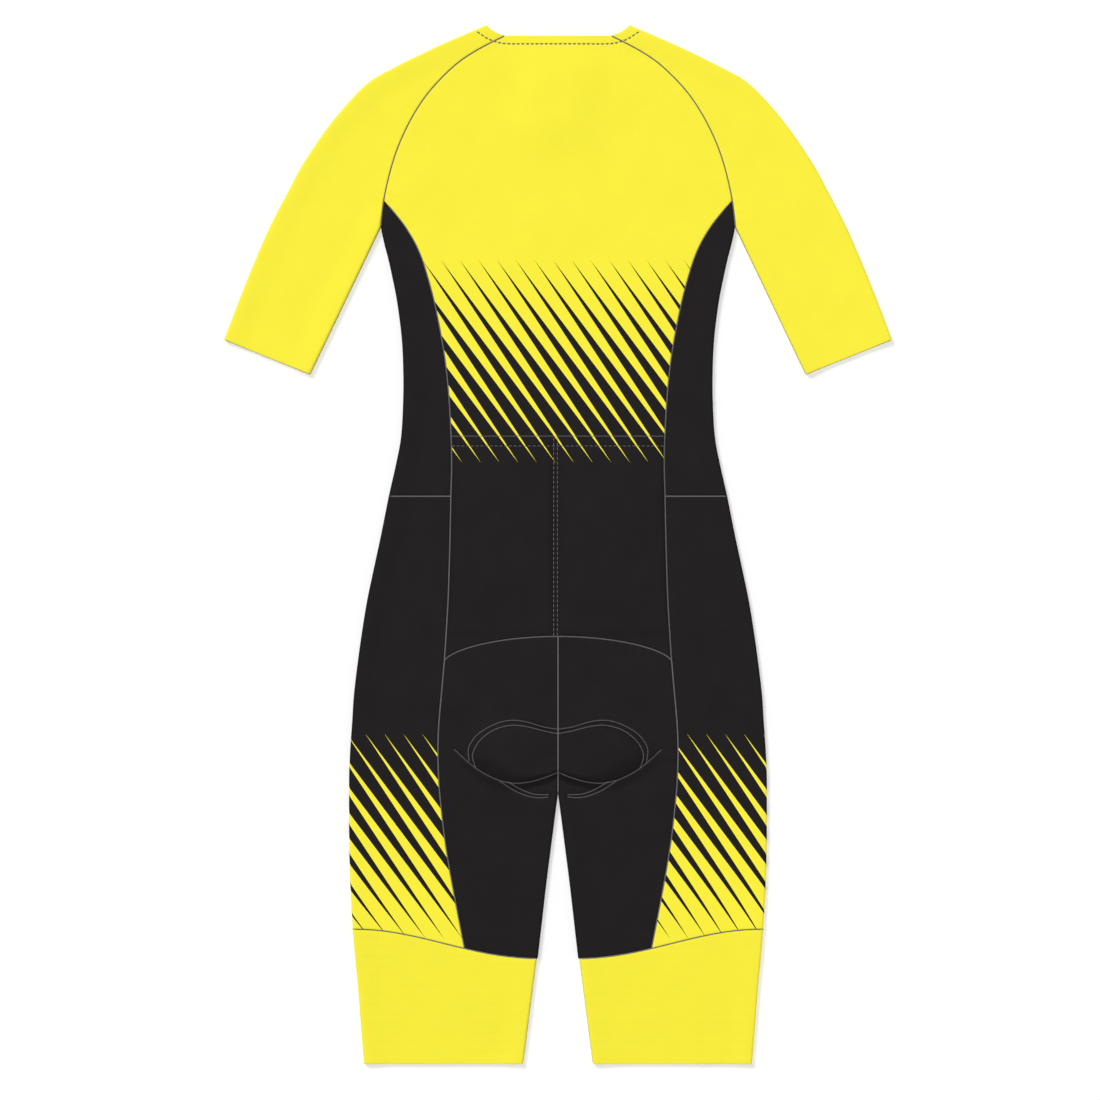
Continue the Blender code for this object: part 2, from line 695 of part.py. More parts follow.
def add_pull():
    """A flat tab whose eye goes round the crown. Its axis is the eye's end bar."""
    outline = bpy.data.curves.new("zip_pull", "CURVE")
    outline.dimensions = "2D"
    outline.fill_mode = "BOTH"
    outline.extrude = TAB_THICK / 2 * MM
    half_bar = TAB_THICK / 2
    bar, neck, grip = EYE_HALF + EYE_RIM, -EYE_LONG - EYE_NECK, TAB_LONG - TAB_HALF
    turns = [math.pi * step / END_STEPS for step in range(END_STEPS + 1)]
    rim = [(-bar, half_bar), (bar, half_bar), (TAB_HALF, neck)]
    rim += [(TAB_HALF * math.cos(turn), -grip - TAB_HALF * math.sin(turn)) for turn in turns]
    rim += [(-TAB_HALF, neck)]
    eye = [(-EYE_HALF, -half_bar), (EYE_HALF, -half_bar), (EYE_HALF, -EYE_LONG), (-EYE_HALF, -EYE_LONG)]
    for points in (rim, eye):
        spline = outline.splines.new("POLY")
        spline.points.add(len(points) - 1)
        spline.use_cyclic_u = True
        for point, (x, y) in zip(spline.points, points):
            point.co = (x * MM, y * MM, 0.0, 1.0)
    pull = new_object("zip_pull", outline, ENAMEL)
    pull.location = place(0.0, SLIDER_DOWN, TAB_AXIS_HIGH, 1)


def new_collection(name):
    made = bpy.data.collections.new(name)
    bpy.context.scene.collection.children.link(made)
    return made


for old in list(bpy.data.objects):
    bpy.data.objects.remove(old)

suit = new_collection("cycling_skinsuit")
helpers = new_collection("helpers")

add_back()
for side_name, side_hand in (("left", -1), ("right", 1)):
    add_seat(side_name, side_hand)
    add_front(side_name, side_hand)
    add_side(side_name, side_hand)
    add_hip(side_name, side_hand)
    add_band(side_name, side_hand)
    add_sleeve(side_name, side_hand)
add_pad()
add_zip()
add_slider()
add_pull()
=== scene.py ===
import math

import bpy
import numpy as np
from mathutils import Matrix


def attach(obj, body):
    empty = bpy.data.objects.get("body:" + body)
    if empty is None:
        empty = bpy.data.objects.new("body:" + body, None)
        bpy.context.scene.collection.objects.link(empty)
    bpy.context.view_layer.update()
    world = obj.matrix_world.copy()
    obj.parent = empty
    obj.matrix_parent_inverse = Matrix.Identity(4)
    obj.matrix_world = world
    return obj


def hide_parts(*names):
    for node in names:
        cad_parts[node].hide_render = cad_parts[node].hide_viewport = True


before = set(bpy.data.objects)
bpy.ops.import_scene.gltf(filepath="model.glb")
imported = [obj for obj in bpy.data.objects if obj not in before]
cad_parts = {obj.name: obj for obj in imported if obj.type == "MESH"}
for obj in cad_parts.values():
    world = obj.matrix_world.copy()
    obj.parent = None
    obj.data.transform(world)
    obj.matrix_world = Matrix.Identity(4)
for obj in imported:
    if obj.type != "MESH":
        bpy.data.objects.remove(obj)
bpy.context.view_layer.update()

# Looks of a cycling skinsuit that is laid flat on its front, with its back upwards.
#
# Sizes are in millimetres, as in the frame's own source: "out" is measured from the centre line, "down"
# from the neck points, "high" from the surface. x is out with a sign, and hand is -1 on the left, at -X.
# Each piece of cloth is a grid of points (out, down, high) on the outer face of its solid. Its attribute
# "cut" holds where each point lies on the flat cloth, in metres, for the print and the knit.

scene = bpy.context.scene
MM = 0.001

# ---- sizes ----

# Cloth
WALL = 0.7
SOLID_WALL = 1.2        # of the frame's own cloth
GAP = 0.1               # between two pieces at a seam
LAID = 3.6              # height of the back over the surface
FOLD = 5.2              # height of the rolled folds
PUFF_REACH = 25.0       # how far a fold lifts the cloth beside it
ROLL = FOLD / 2
RIM = 0.22              # from the middle of a fold to the outermost line of each half
STEP = 3.4              # between rows and columns of cloth
UNDER_STEP = 5.2        # on the side that lies on the surface
EDGE = np.array([0.0, 0.45, 1.0, 1.8, 3.0])     # places of rows and columns beside a seam
TURN = np.linspace(0.0, 90.0, 8)[:-1]           # degrees round a fold from its outermost line
# Sizes that set the numbers of rows and columns
BACK_HALF, SIDE_WIDE, HIP_WIDE = 181.0, 64.0, 100.0
BAND_WIDE, BAND_LONG, ARM_WIDE = 190.0, 125.0, 88.0
SEAT_COLUMNS = 96

# Neck, yoke, pocket and legs
LENGTH = 1080.6
NECK_HALF = 75.0
FRONT_NECK_DROP = 62.0
NECK_CURVE = 1.7        # how far the sleeve's neck edge curves in
NECK_CURVE_FADE = 14.0
HEM_ROUND = 0.35        # how far the outer face turns in at an open edge
HEM_EDGE = 1.4          # over this width
YOKE_DOWN = 662.0
YOKE_RISE = 26.1
YOKE_ROUND = 0.62
BACK_YOKE_FADE = 204.0
SEAT_YOKE_FADE = 44.0
POCKET_TOP = 427.0
POCKET_HEM = 10.7
POCKET_BULGE = 2.0
POCKET_MOUTH_BULGE = 0.6        # share of it at the mouth
POCKET_FILL, POCKET_EMPTY = 0.3, 0.35       # shares of the pocket's length in which it comes and goes
POCKET_FREE = 0.55      # air under the pocket away from its seams
POCKET_SIDE, POCKET_FOOT, POCKET_MIDDLE = 5.0, 6.0, 3.0     # how far its seams hold it down
POCKET_LINES = (-4.5, -0.6)     # x of the rows that part its two halves
POCKET_GROOVE, MOUTH_GROOVE = (0.25, 0.8), (0.3, 0.9)   # depth and half width
MOUTH_DOUBLE = (0.25, 1.5)      # rise and width of the hem's step
MOUTH_LIP = (0.35, 0.9)         # drop and width of its rounding
WAIST_DOWN = 490.0
CROTCH_DOWN = 798.0
CROTCH_DIP = 26.0
INSEAM_SLOPE = 0.129
BAND_DOWN = 955.4
BAND_SLANT = 15.2
BAND_FADE_FROM = 880.0
BAND_INNER = 22.4
BAND_OUTER = 213.4
ARMPIT_DOWN = 209.0
ARMPIT_DIP = 16.0
ARMPIT_OUT = 150.0      # the armpit lies further out than this

# Seat pad
PAD_DOWN = 757.0
PAD_RISE = 5.6
PAD_CLEAR = 1.2
DOME_EDGE = 1.22
DOME_FADE = 0.55
PAD_FINE = (706.0, 806.0)       # rows of cloth lie closer together between these

# Zip and slider, which lift the cloth round them
ZIP_HALF = 4.2
LIFT = 3.0
LIFT_FLAT_HALF = 6.0
LIFT_FADE_OUT = 34.0
LIFT_FLAT_DOWN = 94.0
LIFT_FADE_DOWN = 132.0
BUMP_RISE = 3.3
BUMP_FLAT_HALF = 9.0
BUMP_FADE_OUT = 60.0
BUMP_DOWN = 76.0
BUMP_FLAT_LONG = 18.0
BUMP_FADE_LONG = 70.0
ZIP_TOP = 63.9          # below the slider's post
TOOTH_PITCH = 1.25
TOOTH_RADIUS = 0.3
TOOTH_LOW = 0.32        # least height of its middle line
# A tooth's bent wire: across from the zip's middle, over the fronts' outer faces
TOOTH = ((1.6, 0.45), (1.5, 0.2), (0.4, 0.15), (-0.35, 0.2), (-0.45, 0.45))

# Body sections: down, out to the side seam, out to the fold at the side
BODY = (
    (182.0, 181.3, 182.0), (195.5, 169.8, 183.0), (209.0, 159.3, 184.2), (226.0, 149.0, 181.0),
    (243.0, 141.5, 176.6), (262.0, 135.5, 172.4), (283.0, 129.8, 168.2), (304.0, 125.2, 165.1),
    (325.0, 121.2, 162.7), (350.0, 117.2, 161.3), (385.0, 113.6, 161.0), (427.0, 111.2, 163.2),
    (458.0, 110.6, 168.9), (490.0, 111.4, 176.1), (530.0, 112.2, 184.1), (570.0, 113.3, 192.7),
    (600.0, 114.4, 198.9), (632.0, 116.3, 204.1), (662.0, 118.3, 208.3), (690.0, 120.7, 211.7),
    (706.0, 122.2, 213.1), (720.0, 123.4, 213.9), (733.0, 124.3, 214.8), (747.0, 124.8, 215.8),
    (761.0, 124.9, 216.6), (775.0, 124.5, 217.2), (787.0, 124.0, 217.4), (798.0, 123.2, 217.4),
    (818.0, 121.2, 217.4), (845.0, 118.1, 217.3), (880.0, 112.6, 216.6), (920.0, 105.2, 214.8),
    (960.0, 97.4, 212.0),
)
BAND_SIDE = ((1000.0, 208.2), (1040.0, 205.1), (1080.6, 201.8))     # down, out to the fold

# Sleeve sections to the armpit: back seam out, down; fold out, down; front seam out, down
RAGLAN = (
    (55.0, 10.8, 75.0, 0.0, 62.0, 35.0),
    (84.4, 26.0, 106.9, 13.7, 80.0, 49.5),
    (107.4, 41.8, 135.5, 26.6, 98.0, 66.0),
    (131.3, 65.8, 169.0, 43.2, 119.0, 88.0),
    (148.2, 89.5, 196.8, 59.2, 136.5, 109.0),
    (162.8, 117.7, 221.7, 84.2, 154.0, 134.0),
    (173.1, 146.5, 242.8, 110.6, 170.0, 160.0),
    (181.3, 182.0, 265.3, 144.2, 181.3, 182.0),
    (184.2, 209.0, 279.6, 170.6, 184.2, 209.0),
)
TIP_ROW = 7             # the side panel's tip
TIP_CUT = 0.5           # how much of it is cut off

# Sleeve sections from the armpit to the cuff: underarm out, down; fold out, down
ARM = (
    (184.2, 209.0, 279.6, 170.6),
    (202.6, 247.5, 299.2, 208.4),
    (221.1, 286.0, 316.3, 247.5),
    (239.5, 324.5, 332.2, 287.1),
    (258.0, 363.0, 347.4, 327.0),
)

# Seat pad's outline, degrees above straight out and reach from its middle
PAD = (
    (-90.0, 21.0), (-56.0, 36.0), (-36.0, 56.6), (-25.0, 67.7), (-12.0, 82.0), (-5.0, 92.0),
    (2.0, 93.5), (14.7, 82.7), (24.3, 73.0), (37.7, 55.6), (61.4, 30.9), (90.0, 25.0),
)

# Lines that hold the pad, from the centre seam outwards: out, down
PAD_OUTER = (
    (0.0, 732.2), (14.8, 729.9), (30.4, 725.2), (44.1, 723.0), (56.0, 723.9), (67.7, 727.9),
    (79.5, 734.5), (86.8, 741.0), (92.2, 749.6), (93.4, 757.0), (92.0, 766.5),
)
PAD_INNER = (
    (0.0, 736.7), (13.5, 734.2), (30.2, 729.9), (44.1, 728.0), (54.5, 729.0), (64.9, 732.1),
    (74.9, 738.1), (83.8, 747.2), (88.6, 757.5), (88.1, 765.0), (85.3, 772.7),
)
PAD_FOOT = (
    (0.0, 776.9), (13.1, 782.1), (28.6, 786.8), (45.8, 788.3), (63.1, 784.7), (80.4, 776.2),
    (94.1, 765.8), (108.2, 753.0),
)
PAD_FRONT_OUTER = ((9.7, 802.5), (20.0, 803.7), (32.2, 801.6), (45.8, 795.9), (61.4, 785.6))
PAD_FRONT_INNER = ((9.4, 800.3), (25.0, 799.8), (39.0, 794.6), (53.0, 786.2))

# Printed stripes: x of one stripe's middle at a place down, and where they start and fill the pitch
SLOPE = 0.704           # how far a stripe runs to +X for each millimetre down
BACK_STRIPES = {"x": -111.6, "at": 286.0, "pitch": 19.43, "start": 243.6, "full": 455.2}
HIP_STRIPES = {"x": -186.1, "at": 785.2, "pitch": 19.69, "start": 737.0, "full": 951.6}

# Colours, linear
YELLOW = (0.93, 0.835, 0.042)
BLACK = (0.0083, 0.0063, 0.0068)
THREAD = (0.165, 0.160, 0.166)
FOAM = (0.10, 0.10, 0.11)
ENAMEL = (0.02, 0.02, 0.022)
FLOOR = (0.97, 0.97, 0.97)


# ---- curves ----

def smooth(share):
    share = np.clip(share, 0.0, 1.0)
    return share * share * (3 - 2 * share)


def between(first, second, share):
    return first + (second - first) * share


def refine(table, steps):
    """The rows of a table with steps - 1 more between each two, on a smooth curve."""
    table = np.array(table, dtype=float)
    ends = np.vstack([table[:1], table, table[-1:]])
    t = (np.arange(steps) / steps)[:, None]
    rows = []
    for a, b, c, d in zip(ends, ends[1:], ends[2:], ends[3:]):
        rows.append(0.5 * (2 * b + (c - a) * t + (2 * a - 5 * b + 4 * c - d) * t ** 2
                           + (3 * b - a - 3 * c + d) * t ** 3))
    return np.vstack([*rows, table[-1:]])


def lengths(line):
    """How far along a line each of its points is."""
    return np.concatenate([[0.0], np.cumsum(np.linalg.norm(np.diff(line, axis=0), axis=1))])


def at(line, along):
    """Points of a line at these lengths along it."""
    return np.column_stack([np.interp(along, lengths(line), values) for values in line.T])


def places(length, step, first=True, last=True):
    """Places from 0 to length about a step apart, closer together at the chosen ends."""
    lead = EDGE if first else EDGE[:1]
    tail = EDGE if last else EDGE[:1]
    count = max(round((length - lead[-1] - tail[-1]) / step), 1) + 1
    middle = np.linspace(lead[-1], length - tail[-1], count)
    return np.concatenate([lead[:-1], middle, (length - tail[:-1])[::-1]])


def resample(line, step, first=False, last=False):
    return at(line, places(lengths(line)[-1], step, first, last))


def beside(line, distance):
    """An open line moved outwards by a distance."""
    run = np.diff(line, axis=0)
    normal = np.column_stack([run[:, 1], -run[:, 0]]) / np.linalg.norm(run, axis=1)[:, None]
    mean = (np.vstack([normal[:1], normal]) + np.vstack([normal, normal[-1:]])) / 2
    return line + mean * (distance / (mean ** 2).sum(axis=1))[:, None]


def nearest(line, out, down):
    """How far places are from a line, and how far along it they lie."""
    best = np.full(out.shape, np.inf)
    along = np.zeros(out.shape)
    for start, end, begun in zip(line, line[1:], lengths(line)):
        run = end - start
        long = math.hypot(*run)
        share = ((out - start[0]) * run[0] + (down - start[1]) * run[1]) / long ** 2
        share = np.clip(share, 0.0, 1.0)
        far = np.hypot(out - start[0] - run[0] * share, down - start[1] - run[1] * share)
        nearer = far < best
        best = np.where(nearer, far, best)
        along = np.where(nearer, begun + long * share, along)
    return best, along


def inseam(down):
    return GAP / 2 + INSEAM_SLOPE * np.maximum(down - CROTCH_DOWN, 0.0)


def band(out):
    return BAND_DOWN + BAND_SLANT * np.cos(np.pi * (out - BAND_INNER) / (BAND_OUTER - BAND_INNER))


def band_shift(down, out):
    last = BODY[-1][0]
    return (band(out) - last) * np.clip((down - BAND_FADE_FROM) / (last - BAND_FADE_FROM), 0.0, 1.0)


def yoke_rise(share):
    """Height of the yoke seam over its ends, at a share of the way to the side seam."""
    return YOKE_RISE * np.clip(1 - share ** 2, 0.0, 1.0) ** YOKE_ROUND


def yoke_shift(down, share, reach):
    return -yoke_rise(share) * np.clip(1 - np.abs(down - YOKE_DOWN) / reach, 0.0, 1.0)


def front_neck(out):
    return FRONT_NECK_DROP * np.sqrt(np.clip(1 - (out / NECK_HALF) ** 2, 0.0, 1.0))


# ---- the lines of the suit ----

FINE = 36               # steps between two rows of a table
LINE_STEP = 5.0
BODY_FINE = refine(BODY, 12)
SEAM = np.column_stack([BODY_FINE[:, 1], BODY_FINE[:, 0]])
SIDE_TABLE = refine([(row[2], row[0]) for row in BODY] + [(out, down) for down, out in BAND_SIDE], 12)
FOLDS = refine([row[2:4] for row in RAGLAN] + [row[2:4] for row in ARM[1:]], FINE)
RAGLAN_BACK = refine([row[0:2] for row in RAGLAN], FINE)
RAGLAN_FRONT = refine([row[4:6] for row in RAGLAN], FINE)
UNDERARM = refine([row[0:2] for row in ARM], FINE)
PAD_OUTLINE = refine(PAD, 6)


def side(down):
    return np.interp(down, SIDE_TABLE[:, 1], SIDE_TABLE[:, 0])


def seam_out(down):
    return np.interp(down, SEAM[:, 1], SEAM[:, 0])


share_line = np.linspace(0.0, 1.0, 40)
yoke_share = np.sin(np.pi / 2 * share_line)
YOKE = np.column_stack([yoke_share * seam_out(YOKE_DOWN), YOKE_DOWN - yoke_rise(yoke_share)])
band_out = between(BAND_INNER - 1.0, BAND_OUTER, share_line)
BAND_LINE = np.column_stack([band_out, band(band_out)])
WAIST = np.array([(seam_out(WAIST_DOWN), WAIST_DOWN), (side(WAIST_DOWN), WAIST_DOWN)])
CENTRE = np.array([(0.0, YOKE[0, 1]), (0.0, CROTCH_DOWN)])
FRONT_CENTRE = np.array([(0.0, WAIST_DOWN + 1.0), (0.0, CROTCH_DOWN)])
NECK_HEM = refine([
    (0.0, 19.4), (30.0, 19.4), (48.0, 19.4), (58.0, 18.8),
    (66.0, 16.9), (74.0, 13.6), (80.0, 9.8), (84.0, 7.2),
], 6)
ARM_FOLD = resample(FOLDS, LINE_STEP)
SIDE_FOLD = resample(SIDE_TABLE[SIDE_TABLE[:, 1] >= ARMPIT_DOWN], LINE_STEP)
ARM_UNDER = resample(UNDERARM, LINE_STEP)
LEG_INNER = np.array([(inseam(down), down) for down in (CROTCH_DOWN, LENGTH)])

# Depth and half width of the grooves of sewn lines, and height of their puckers
SEAM_RELIEF = (0.55, 1.1, 0.20)
PAD_RELIEF = (0.5, 1.3, 0.14)
NECK_RELIEF = (0.3, 0.9, 0.1)
PUCKER_LONG = 11.0      # from one pucker to the next
PUCKER_REACH = 9.0
PUCKER_DRIFT, PUCKER_SWELL = 23.0, 37.0     # over which their spacing and height vary
LEFT_PHASE = 1.7        # between the left's and the right's

SIDE_SEAM = resample(SEAM, LINE_STEP)
BACK_SEAMS = (resample(RAGLAN_BACK[:TIP_ROW * FINE + 1], LINE_STEP),
              resample(RAGLAN_BACK[TIP_ROW * FINE:], LINE_STEP),
              SIDE_SEAM, YOKE, BAND_LINE, WAIST, CENTRE)
FRONT_SEAMS = (resample(RAGLAN_FRONT, LINE_STEP), FRONT_CENTRE, SIDE_SEAM, BAND_LINE, WAIST)
PAD_TABLES = (PAD_OUTER, PAD_INNER, PAD_FOOT, PAD_FRONT_OUTER, PAD_FRONT_INNER)
PAD_LINES = [refine(line, 5) for line in PAD_TABLES]
SEWN = ([(line, *SEAM_RELIEF) for line in BACK_SEAMS] + [(NECK_HEM, *NECK_RELIEF)]
        + [(line, *PAD_RELIEF) for line in PAD_LINES])

# Slow waves of the laid cloth: degrees of their direction, length, height, phase
WAVES = (
    (14.0, 131.0, 0.16, 0.4), (63.0, 97.0, 0.14, 2.1), (104.0, 74.0, 0.12, 4.0),
    (147.0, 58.0, 0.09, 1.2), (35.0, 43.0, 0.06, 5.3),
)


# ---- heights ----

def fold_distance(out, down):
    return np.minimum.reduce([nearest(line, out, down)[0]
                              for line in (ARM_FOLD, ARM_UNDER, SIDE_FOLD, LEG_INNER)])


def pad_reach(angle):
    return np.interp(angle, PAD_OUTLINE[:, 0], PAD_OUTLINE[:, 1])


def pad_share(out, down):
    rise = PAD_DOWN - down
    return np.hypot(out, rise) / pad_reach(np.degrees(np.arctan2(rise, out)))


def relief(x, down):
    """Grooves and puckers along the sewn lines, which differ between left and right."""
    total = np.zeros(x.shape)
    phase = np.where(x < 0, LEFT_PHASE, 0.0)
    for number, (line, depth, wide, pucker) in enumerate(SEWN):
        far, along = nearest(line, np.abs(x), down)
        turn = 2 * np.pi * along / PUCKER_LONG + 1.9 * np.sin(along / PUCKER_DRIFT + number + phase)
        swell = 0.55 + 0.45 * np.sin(along / PUCKER_SWELL + 2.3 * number + 2 * phase)
        total += pucker * swell * np.sin(turn + phase) * np.exp(-far / PUCKER_REACH)
        total -= depth * np.exp(-(far / wide) ** 2)
    return total


def waves(x, down):
    total = np.zeros(x.shape)
    for angle, long, high, phase in WAVES:
        along = x * math.cos(math.radians(angle)) + down * math.sin(math.radians(angle))
        total += high * np.sin(2 * np.pi * along / long + phase)
    return total


def top(x, down):
    """Height of the outer face of the back."""
    out = np.abs(x)
    puff = smooth(1 - np.maximum(fold_distance(out, down) - ROLL, 0.0) / PUFF_REACH)
    dome = smooth((DOME_EDGE - pad_share(out, down)) / DOME_FADE)
    bump = smooth(1 - (out - BUMP_FLAT_HALF) / (BUMP_FADE_OUT - BUMP_FLAT_HALF))
    fade = (np.abs(down - BUMP_DOWN) - BUMP_FLAT_LONG) / (BUMP_FADE_LONG - BUMP_FLAT_LONG)
    bump = bump * smooth(1 - fade)
    form = LAID + (FOLD - LAID) * puff + PAD_RISE * dome + BUMP_RISE * bump
    return form + relief(x, down) + waves(x, down) * (1 - puff)


def under(x, down):
    """Height of the outer face of the front, which lies on the surface."""
    out = np.abs(x)
    lift = smooth((LIFT_FADE_OUT - out) / (LIFT_FADE_OUT - LIFT_FLAT_HALF))
    lift = LIFT * lift * smooth((LIFT_FADE_DOWN - down) / (LIFT_FADE_DOWN - LIFT_FLAT_DOWN))
    depth, wide, _ = SEAM_RELIEF
    for line in FRONT_SEAMS:
        lift = lift + depth * np.exp(-(nearest(line, out, down)[0] / wide) ** 2)
    return lift


# ---- grids of points ----

def rolled(edge, inward, dip, roll):
    """Places of a quarter fold from its outermost line inwards, and how far each has turned."""
    turn = np.radians(TURN)
    step = between(np.arange(len(TURN)) / len(TURN), 1 - np.cos(turn), dip[:, None]) * roll[:, None]
    return (edge[:, :1] + inward[:, :1] * step, edge[:, 1:] + inward[:, 1:] * step,
            dip[:, None] * (1 - np.sin(turn)))


def strip(start, end, count, first=False, last=False):
    """Places from start to end, closer together at the chosen ends."""
    long = np.linalg.norm(end - start, axis=1)[:, None]
    close = EDGE * np.minimum(1.0, long / (3 * EDGE[-1]))
    lead = close if first else close[:, :1]
    tail = close if last else close[:, :1]
    middle = between(lead[:, -1:], long - tail[:, -1:], np.linspace(0.0, 1.0, count))
    share = np.hstack([lead[:, :-1], middle, (long - tail[:, :-1])[:, ::-1]]) / long
    return (between(start[:, :1], end[:, :1], share), between(start[:, 1:], end[:, 1:], share),
            np.zeros(share.shape))


def join(*parts):
    return tuple(np.hstack(columns) for columns in zip(*parts))


def lay(places_of, upper, hand):
    """Points of one layer of cloth, whose turned edges end in the middle of the fold."""
    out, down, turned = places_of
    flat = (top if upper else under)(hand * out, down)
    return np.dstack([out, down, between(flat, ROLL + (RIM if upper else -RIM), turned)])


def hemmed(grid, first=False, last=False):
    """Rounds the outer face off at open edges, along the first or last rows."""
    along = np.linalg.norm(np.diff(grid[..., :2], axis=0), axis=2).mean(axis=1)
    total = along.sum()
    far = np.concatenate([[0.0], np.cumsum(along)])
    for chosen, edge in ((first, far), (last, total - far)):
        if chosen:
            drop = HEM_ROUND * np.clip(1 - edge / HEM_EDGE, 0.0, 1.0)[:, None] ** 2
            grid[..., 2] -= drop * np.clip((grid[..., 2] - ROLL) / ROLL, -1.0, 1.0)
    return grid


def body_grid(downs, outer, count, upper, hand, yoke=False):
    """From the centre seam or the inner leg to the side seam, with or without the yoke's curve."""
    inner = inseam(downs)
    dip = smooth((downs - CROTCH_DOWN) / CROTCH_DIP + 1)
    edge = np.column_stack([inner, downs])
    inward = np.tile((1.0, 0.0), (len(downs), 1))
    start = np.column_stack([inner + ROLL, downs])
    out, low, turned = join(
        rolled(edge, inward, dip, np.full(len(downs), ROLL)),
        strip(start, np.column_stack([outer, downs]), count, last=True),
    )
    shift = yoke_shift(low, out / outer[:, None], SEAT_YOKE_FADE) if yoke else 0.0
    return lay((out, low + shift + band_shift(low, out), turned), upper, hand)


def wrapped_grid(seam, edge, dip, count, hand, bend=False):
    """From the side seam at the back, round the fold at the side, to the seam at the front."""
    roll = np.minimum(ROLL, 0.4 * (edge[:, 0] - seam[:, 0]))
    inward = np.tile((-1.0, 0.0), (len(seam), 1))
    halves = []
    for upper in (True, False):
        end = edge - np.column_stack([roll, np.zeros(len(roll))])
        turn = tuple(values[:, ::-1] for values in rolled(edge, inward, dip, roll))
        out, low, turned = join(strip(seam, end, count, first=True), turn)
        if bend:
            low = low + band_shift(low, out)
        halves.append(lay((out, low, turned), upper, hand))
    return np.hstack([halves[0], halves[1][:, ::-1]])


# ---- meshes ----

def placed(name, data):
    thing = bpy.data.objects.new(name, data)
    scene.collection.objects.link(thing)
    return thing


def piece_of(name, points, faces, material, smooth_faces=True):
    mesh = bpy.data.meshes.new(name)
    mesh.from_pydata(points.tolist(), [], faces)
    mesh.polygons.foreach_set("use_smooth", [smooth_faces] * len(mesh.polygons))
    mesh.materials.append(material)
    return placed(name, mesh)


def quads(rows, columns, ring=False):
    """Corners of the quads of a grid, row by row."""
    row, column = np.meshgrid(np.arange(rows - 1), np.arange(columns - (not ring)), indexing="ij")
    after = (column + 1) % columns
    return np.stack([row * columns + column, row * columns + after,
                     (row + 1) * columns + after, (row + 1) * columns + column], axis=-1)


def cloth(name, grid, hand, material, slot, faces_up=True, ring_from=None, open_at=None, wall=WALL):
    """A thin wall whose outer face is the grid. It replaces the node of its own name.

    The ring is closed from a row on, and open_at is (end row, column) of quads left out. The print of
    a piece that faces down is laid out as it is seen from below.
    """
    rows, columns = grid.shape[:2]
    points = np.stack([hand * grid[..., 0], LENGTH / 2 - grid[..., 1], grid[..., 2]], axis=-1) * MM
    corners = quads(rows, columns)
    keep = np.ones(corners.shape[:2], dtype=bool)
    if open_at is not None:
        keep[:open_at[0], open_at[1]] = False
    faces = corners[keep]
    if ring_from is not None:
        faces = np.vstack([faces, quads(rows, columns, ring=True)[ring_from:, -1]])
    probe = corners[0, len(TURN) + 2]
    a, b, c = points.reshape(-1, 3)[probe[:3]]
    if (np.cross(b - a, c - b)[2] > 0) != faces_up:
        faces = faces[:, ::-1]
    piece = piece_of(name + "_cloth", points.reshape(-1, 3), faces.tolist(), material)
    across = np.cumsum(np.linalg.norm(np.diff(points, axis=1, prepend=points[:, :1]), axis=2), axis=1)
    cut_x = (points[:, :1, 0] + hand * across) * (1 if faces_up else -1)
    cut = np.stack([cut_x, points[..., 1], np.zeros((rows, columns))], axis=-1)
    piece.data.attributes.new("cut", "FLOAT_VECTOR", "POINT").data.foreach_set("vector", cut.ravel())
    solid = piece.modifiers.new("wall", "SOLIDIFY")
    solid.thickness = wall * MM
    solid.offset = -1.0
    solid.use_even_offset = True
    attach(piece, "suit")
    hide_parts(name)
    return piece


def threads(name, paths, radius, material, sides=4):
    """Many short threads in one mesh. paths is (threads, points, 3) in x, down, high."""
    points = np.stack([paths[..., 0], LENGTH / 2 - paths[..., 1], paths[..., 2]], axis=-1) * MM
    along = np.gradient(points, axis=1)
    along /= np.linalg.norm(along, axis=2, keepdims=True)
    sideways = np.cross(along, (0.0, 0.0, 1.0))
    sideways /= np.linalg.norm(sideways, axis=2, keepdims=True)
    normal = np.cross(sideways, along)
    turn = 2 * np.pi * (np.arange(sides) + 0.5) / sides
    ring = np.cos(turn)[:, None] * sideways[:, :, None] + np.sin(turn)[:, None] * normal[:, :, None]
    tubes = points[:, :, None] + ring * radius * MM
    count, steps = paths.shape[:2]
    used = steps * sides
    one = quads(steps, sides, ring=True).reshape(-1, 4)[:, ::-1].tolist()
    one += [list(range(sides)), list(range(used - sides, used))[::-1]]
    faces = [[corner + first for corner in face] for first in range(0, count * used, used) for face in one]
    piece = piece_of(name, tubes.reshape(-1, 3), faces, material)
    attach(piece, "suit")
    return piece


STITCH_SINK, STITCH_OVER = 0.18, 0.12   # of a stitch's ends in the cloth, and its middle over its lift
LADDER_SINK = 0.2       # of a zigzag's corners in the cloth
LADDER_END = 0.3        # from the end of a seam to its zigzag


def row_of_stitches(line, pitch, long, height, lift=0.16):
    """Stitches along a line of (x, down), from end to end."""
    room = lengths(line)[-1] - long
    starts = np.linspace(0.0, room, round(room / pitch) + 1)
    share = np.linspace(0.0, 1.0, 5)
    spots = at(line, (starts[:, None] + long * share).ravel())
    high = height(spots[:, 0], spots[:, 1]).reshape(len(starts), -1)
    rise = between(-STITCH_SINK, lift + STITCH_OVER, np.sqrt(np.sin(np.pi * share)))
    return np.dstack([spots.reshape(len(starts), -1, 2), high + rise])


